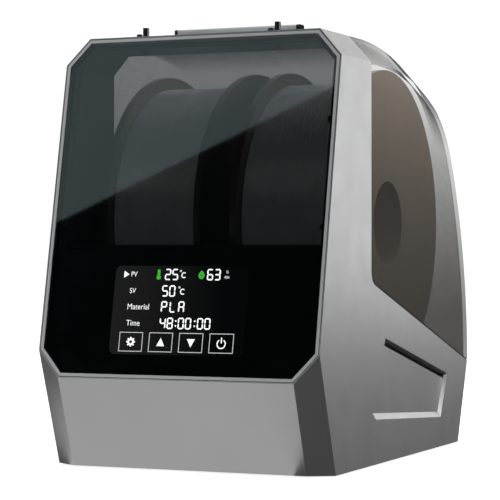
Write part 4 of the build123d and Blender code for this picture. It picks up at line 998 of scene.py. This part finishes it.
    def reflected_card(self, chosen):
        """Pale card that the front glass mirrors to the camera.

        Its outline is a shape on the glass, carried away from the camera's mirror image by a fixed ratio,
        so that the card lies parallel to the glass and its straight lower edge shows as a slanting line."""
        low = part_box("front_panel")[0]
        glass_foot = np.array([0.0, low.y, low.z])
        normal = -INTO_PANEL
        eye = np.array(CAMERA_PLACE)
        mirrored = eye - 2 * ((eye - glass_foot) @ normal) * normal
        outline = np.array(CARD_OUTLINE)
        on_glass = glass_foot + outline[:, :1] * np.array([1.0, 0.0, 0.0]) + outline[:, 1:] * UP_PANEL
        corners = mirrored + CARD_RATIO * (on_glass - mirrored)
        card, shader = self.sheet("glass_card", corners, (0.0, 0.0, 0.0), 1.0)
        shader.inputs["Emission Color"].default_value = (*chosen.card, 1.0)
        tree = card.data.materials[0].node_tree
        place = tree.nodes.new("ShaderNodeTexCoord")
        split = tree.nodes.new("ShaderNodeSeparateXYZ")
        fade = tree.nodes.new("ShaderNodeMapRange")
        left, right = corners[:, 0].min(), corners[:, 0].max()
        for socket, value in (
            ("From Min", left + CARD_FADE * (right - left)), ("From Max", right),
            ("To Min", CARD_LEFT * chosen.card_glow), ("To Max", CARD_RIGHT * chosen.card_glow),
        ):
            fade.inputs[socket].default_value = value
        tree.links.new(place.outputs["Object"], split.inputs["Vector"])
        tree.links.new(split.outputs["X"], fade.inputs["Value"])
        tree.links.new(fade.outputs["Result"], shader.inputs["Emission Strength"])
        card.visible_camera = False

    def camera(self):
        """Level camera to the right of the front, with a long lens."""
        data = bpy.data.cameras.new("camera")
        data.sensor_width = 36.0
        data.lens = CAMERA_LENS
        data.clip_start = 0.05
        data.clip_end = 50.0
        camera = bpy.data.objects.new("camera", data)
        camera.location = CAMERA_PLACE
        camera.rotation_euler = (math.radians(90.0), 0.0, math.radians(CAMERA_TURN))
        bpy.context.scene.collection.objects.link(camera)
        bpy.context.scene.camera = camera
        bpy.context.scene.view_settings.view_transform = "Standard"


OPERATORS = (
    DRYER_OT_shell,
    DRYER_OT_dark_parts,
    DRYER_OT_glass,
    DRYER_OT_display,
    DRYER_OT_windings,
    DRYER_OT_stage,
)
GROUPS = {
    "dryer_shell": DryerShellSettings,
    "dryer_glass": DryerGlassSettings,
    "dryer_display": DryerDisplaySettings,
    "dryer_spools": DryerSpoolSettings,
    "dryer_stage": DryerStageSettings,
}


class DRYER_PT_panel(bpy.types.Panel):
    """Steps that build the dryer box's looks, with their settings"""

    bl_idname = "DRYER_PT_panel"
    bl_label = "Filament dryer box"
    bl_space_type = "VIEW_3D"
    bl_region_type = "UI"
    bl_category = "Dryer"

    def draw(self, context):
        for step in OPERATORS:
            self.layout.operator(step.bl_idname)
        for name, group in GROUPS.items():
            box = self.layout.box()
            box.label(text=group.__doc__)
            for key in group.__annotations__:
                box.prop(getattr(context.scene, name), key)


def register():
    """Registers the settings, the steps and the sidebar panel."""
    for name, group in GROUPS.items():
        bpy.utils.register_class(group)
        setattr(bpy.types.Scene, name, bpy.props.PointerProperty(type=group))
    for step in (*OPERATORS, DRYER_PT_panel):
        bpy.utils.register_class(step)


def unregister():
    """Takes them all away again."""
    for step in (DRYER_PT_panel, *reversed(OPERATORS)):
        bpy.utils.unregister_class(step)
    for name, group in GROUPS.items():
        delattr(bpy.types.Scene, name)
        bpy.utils.unregister_class(group)


def main():
    """Registers the steps and runs every step in order."""
    register()
    bpy.ops.dryer.shell()
    bpy.ops.dryer.dark_parts()
    bpy.ops.dryer.glass()
    bpy.ops.dryer.display()
    bpy.ops.dryer.windings()
    bpy.ops.dryer.stage()


if __name__ == "__main__":
    main()
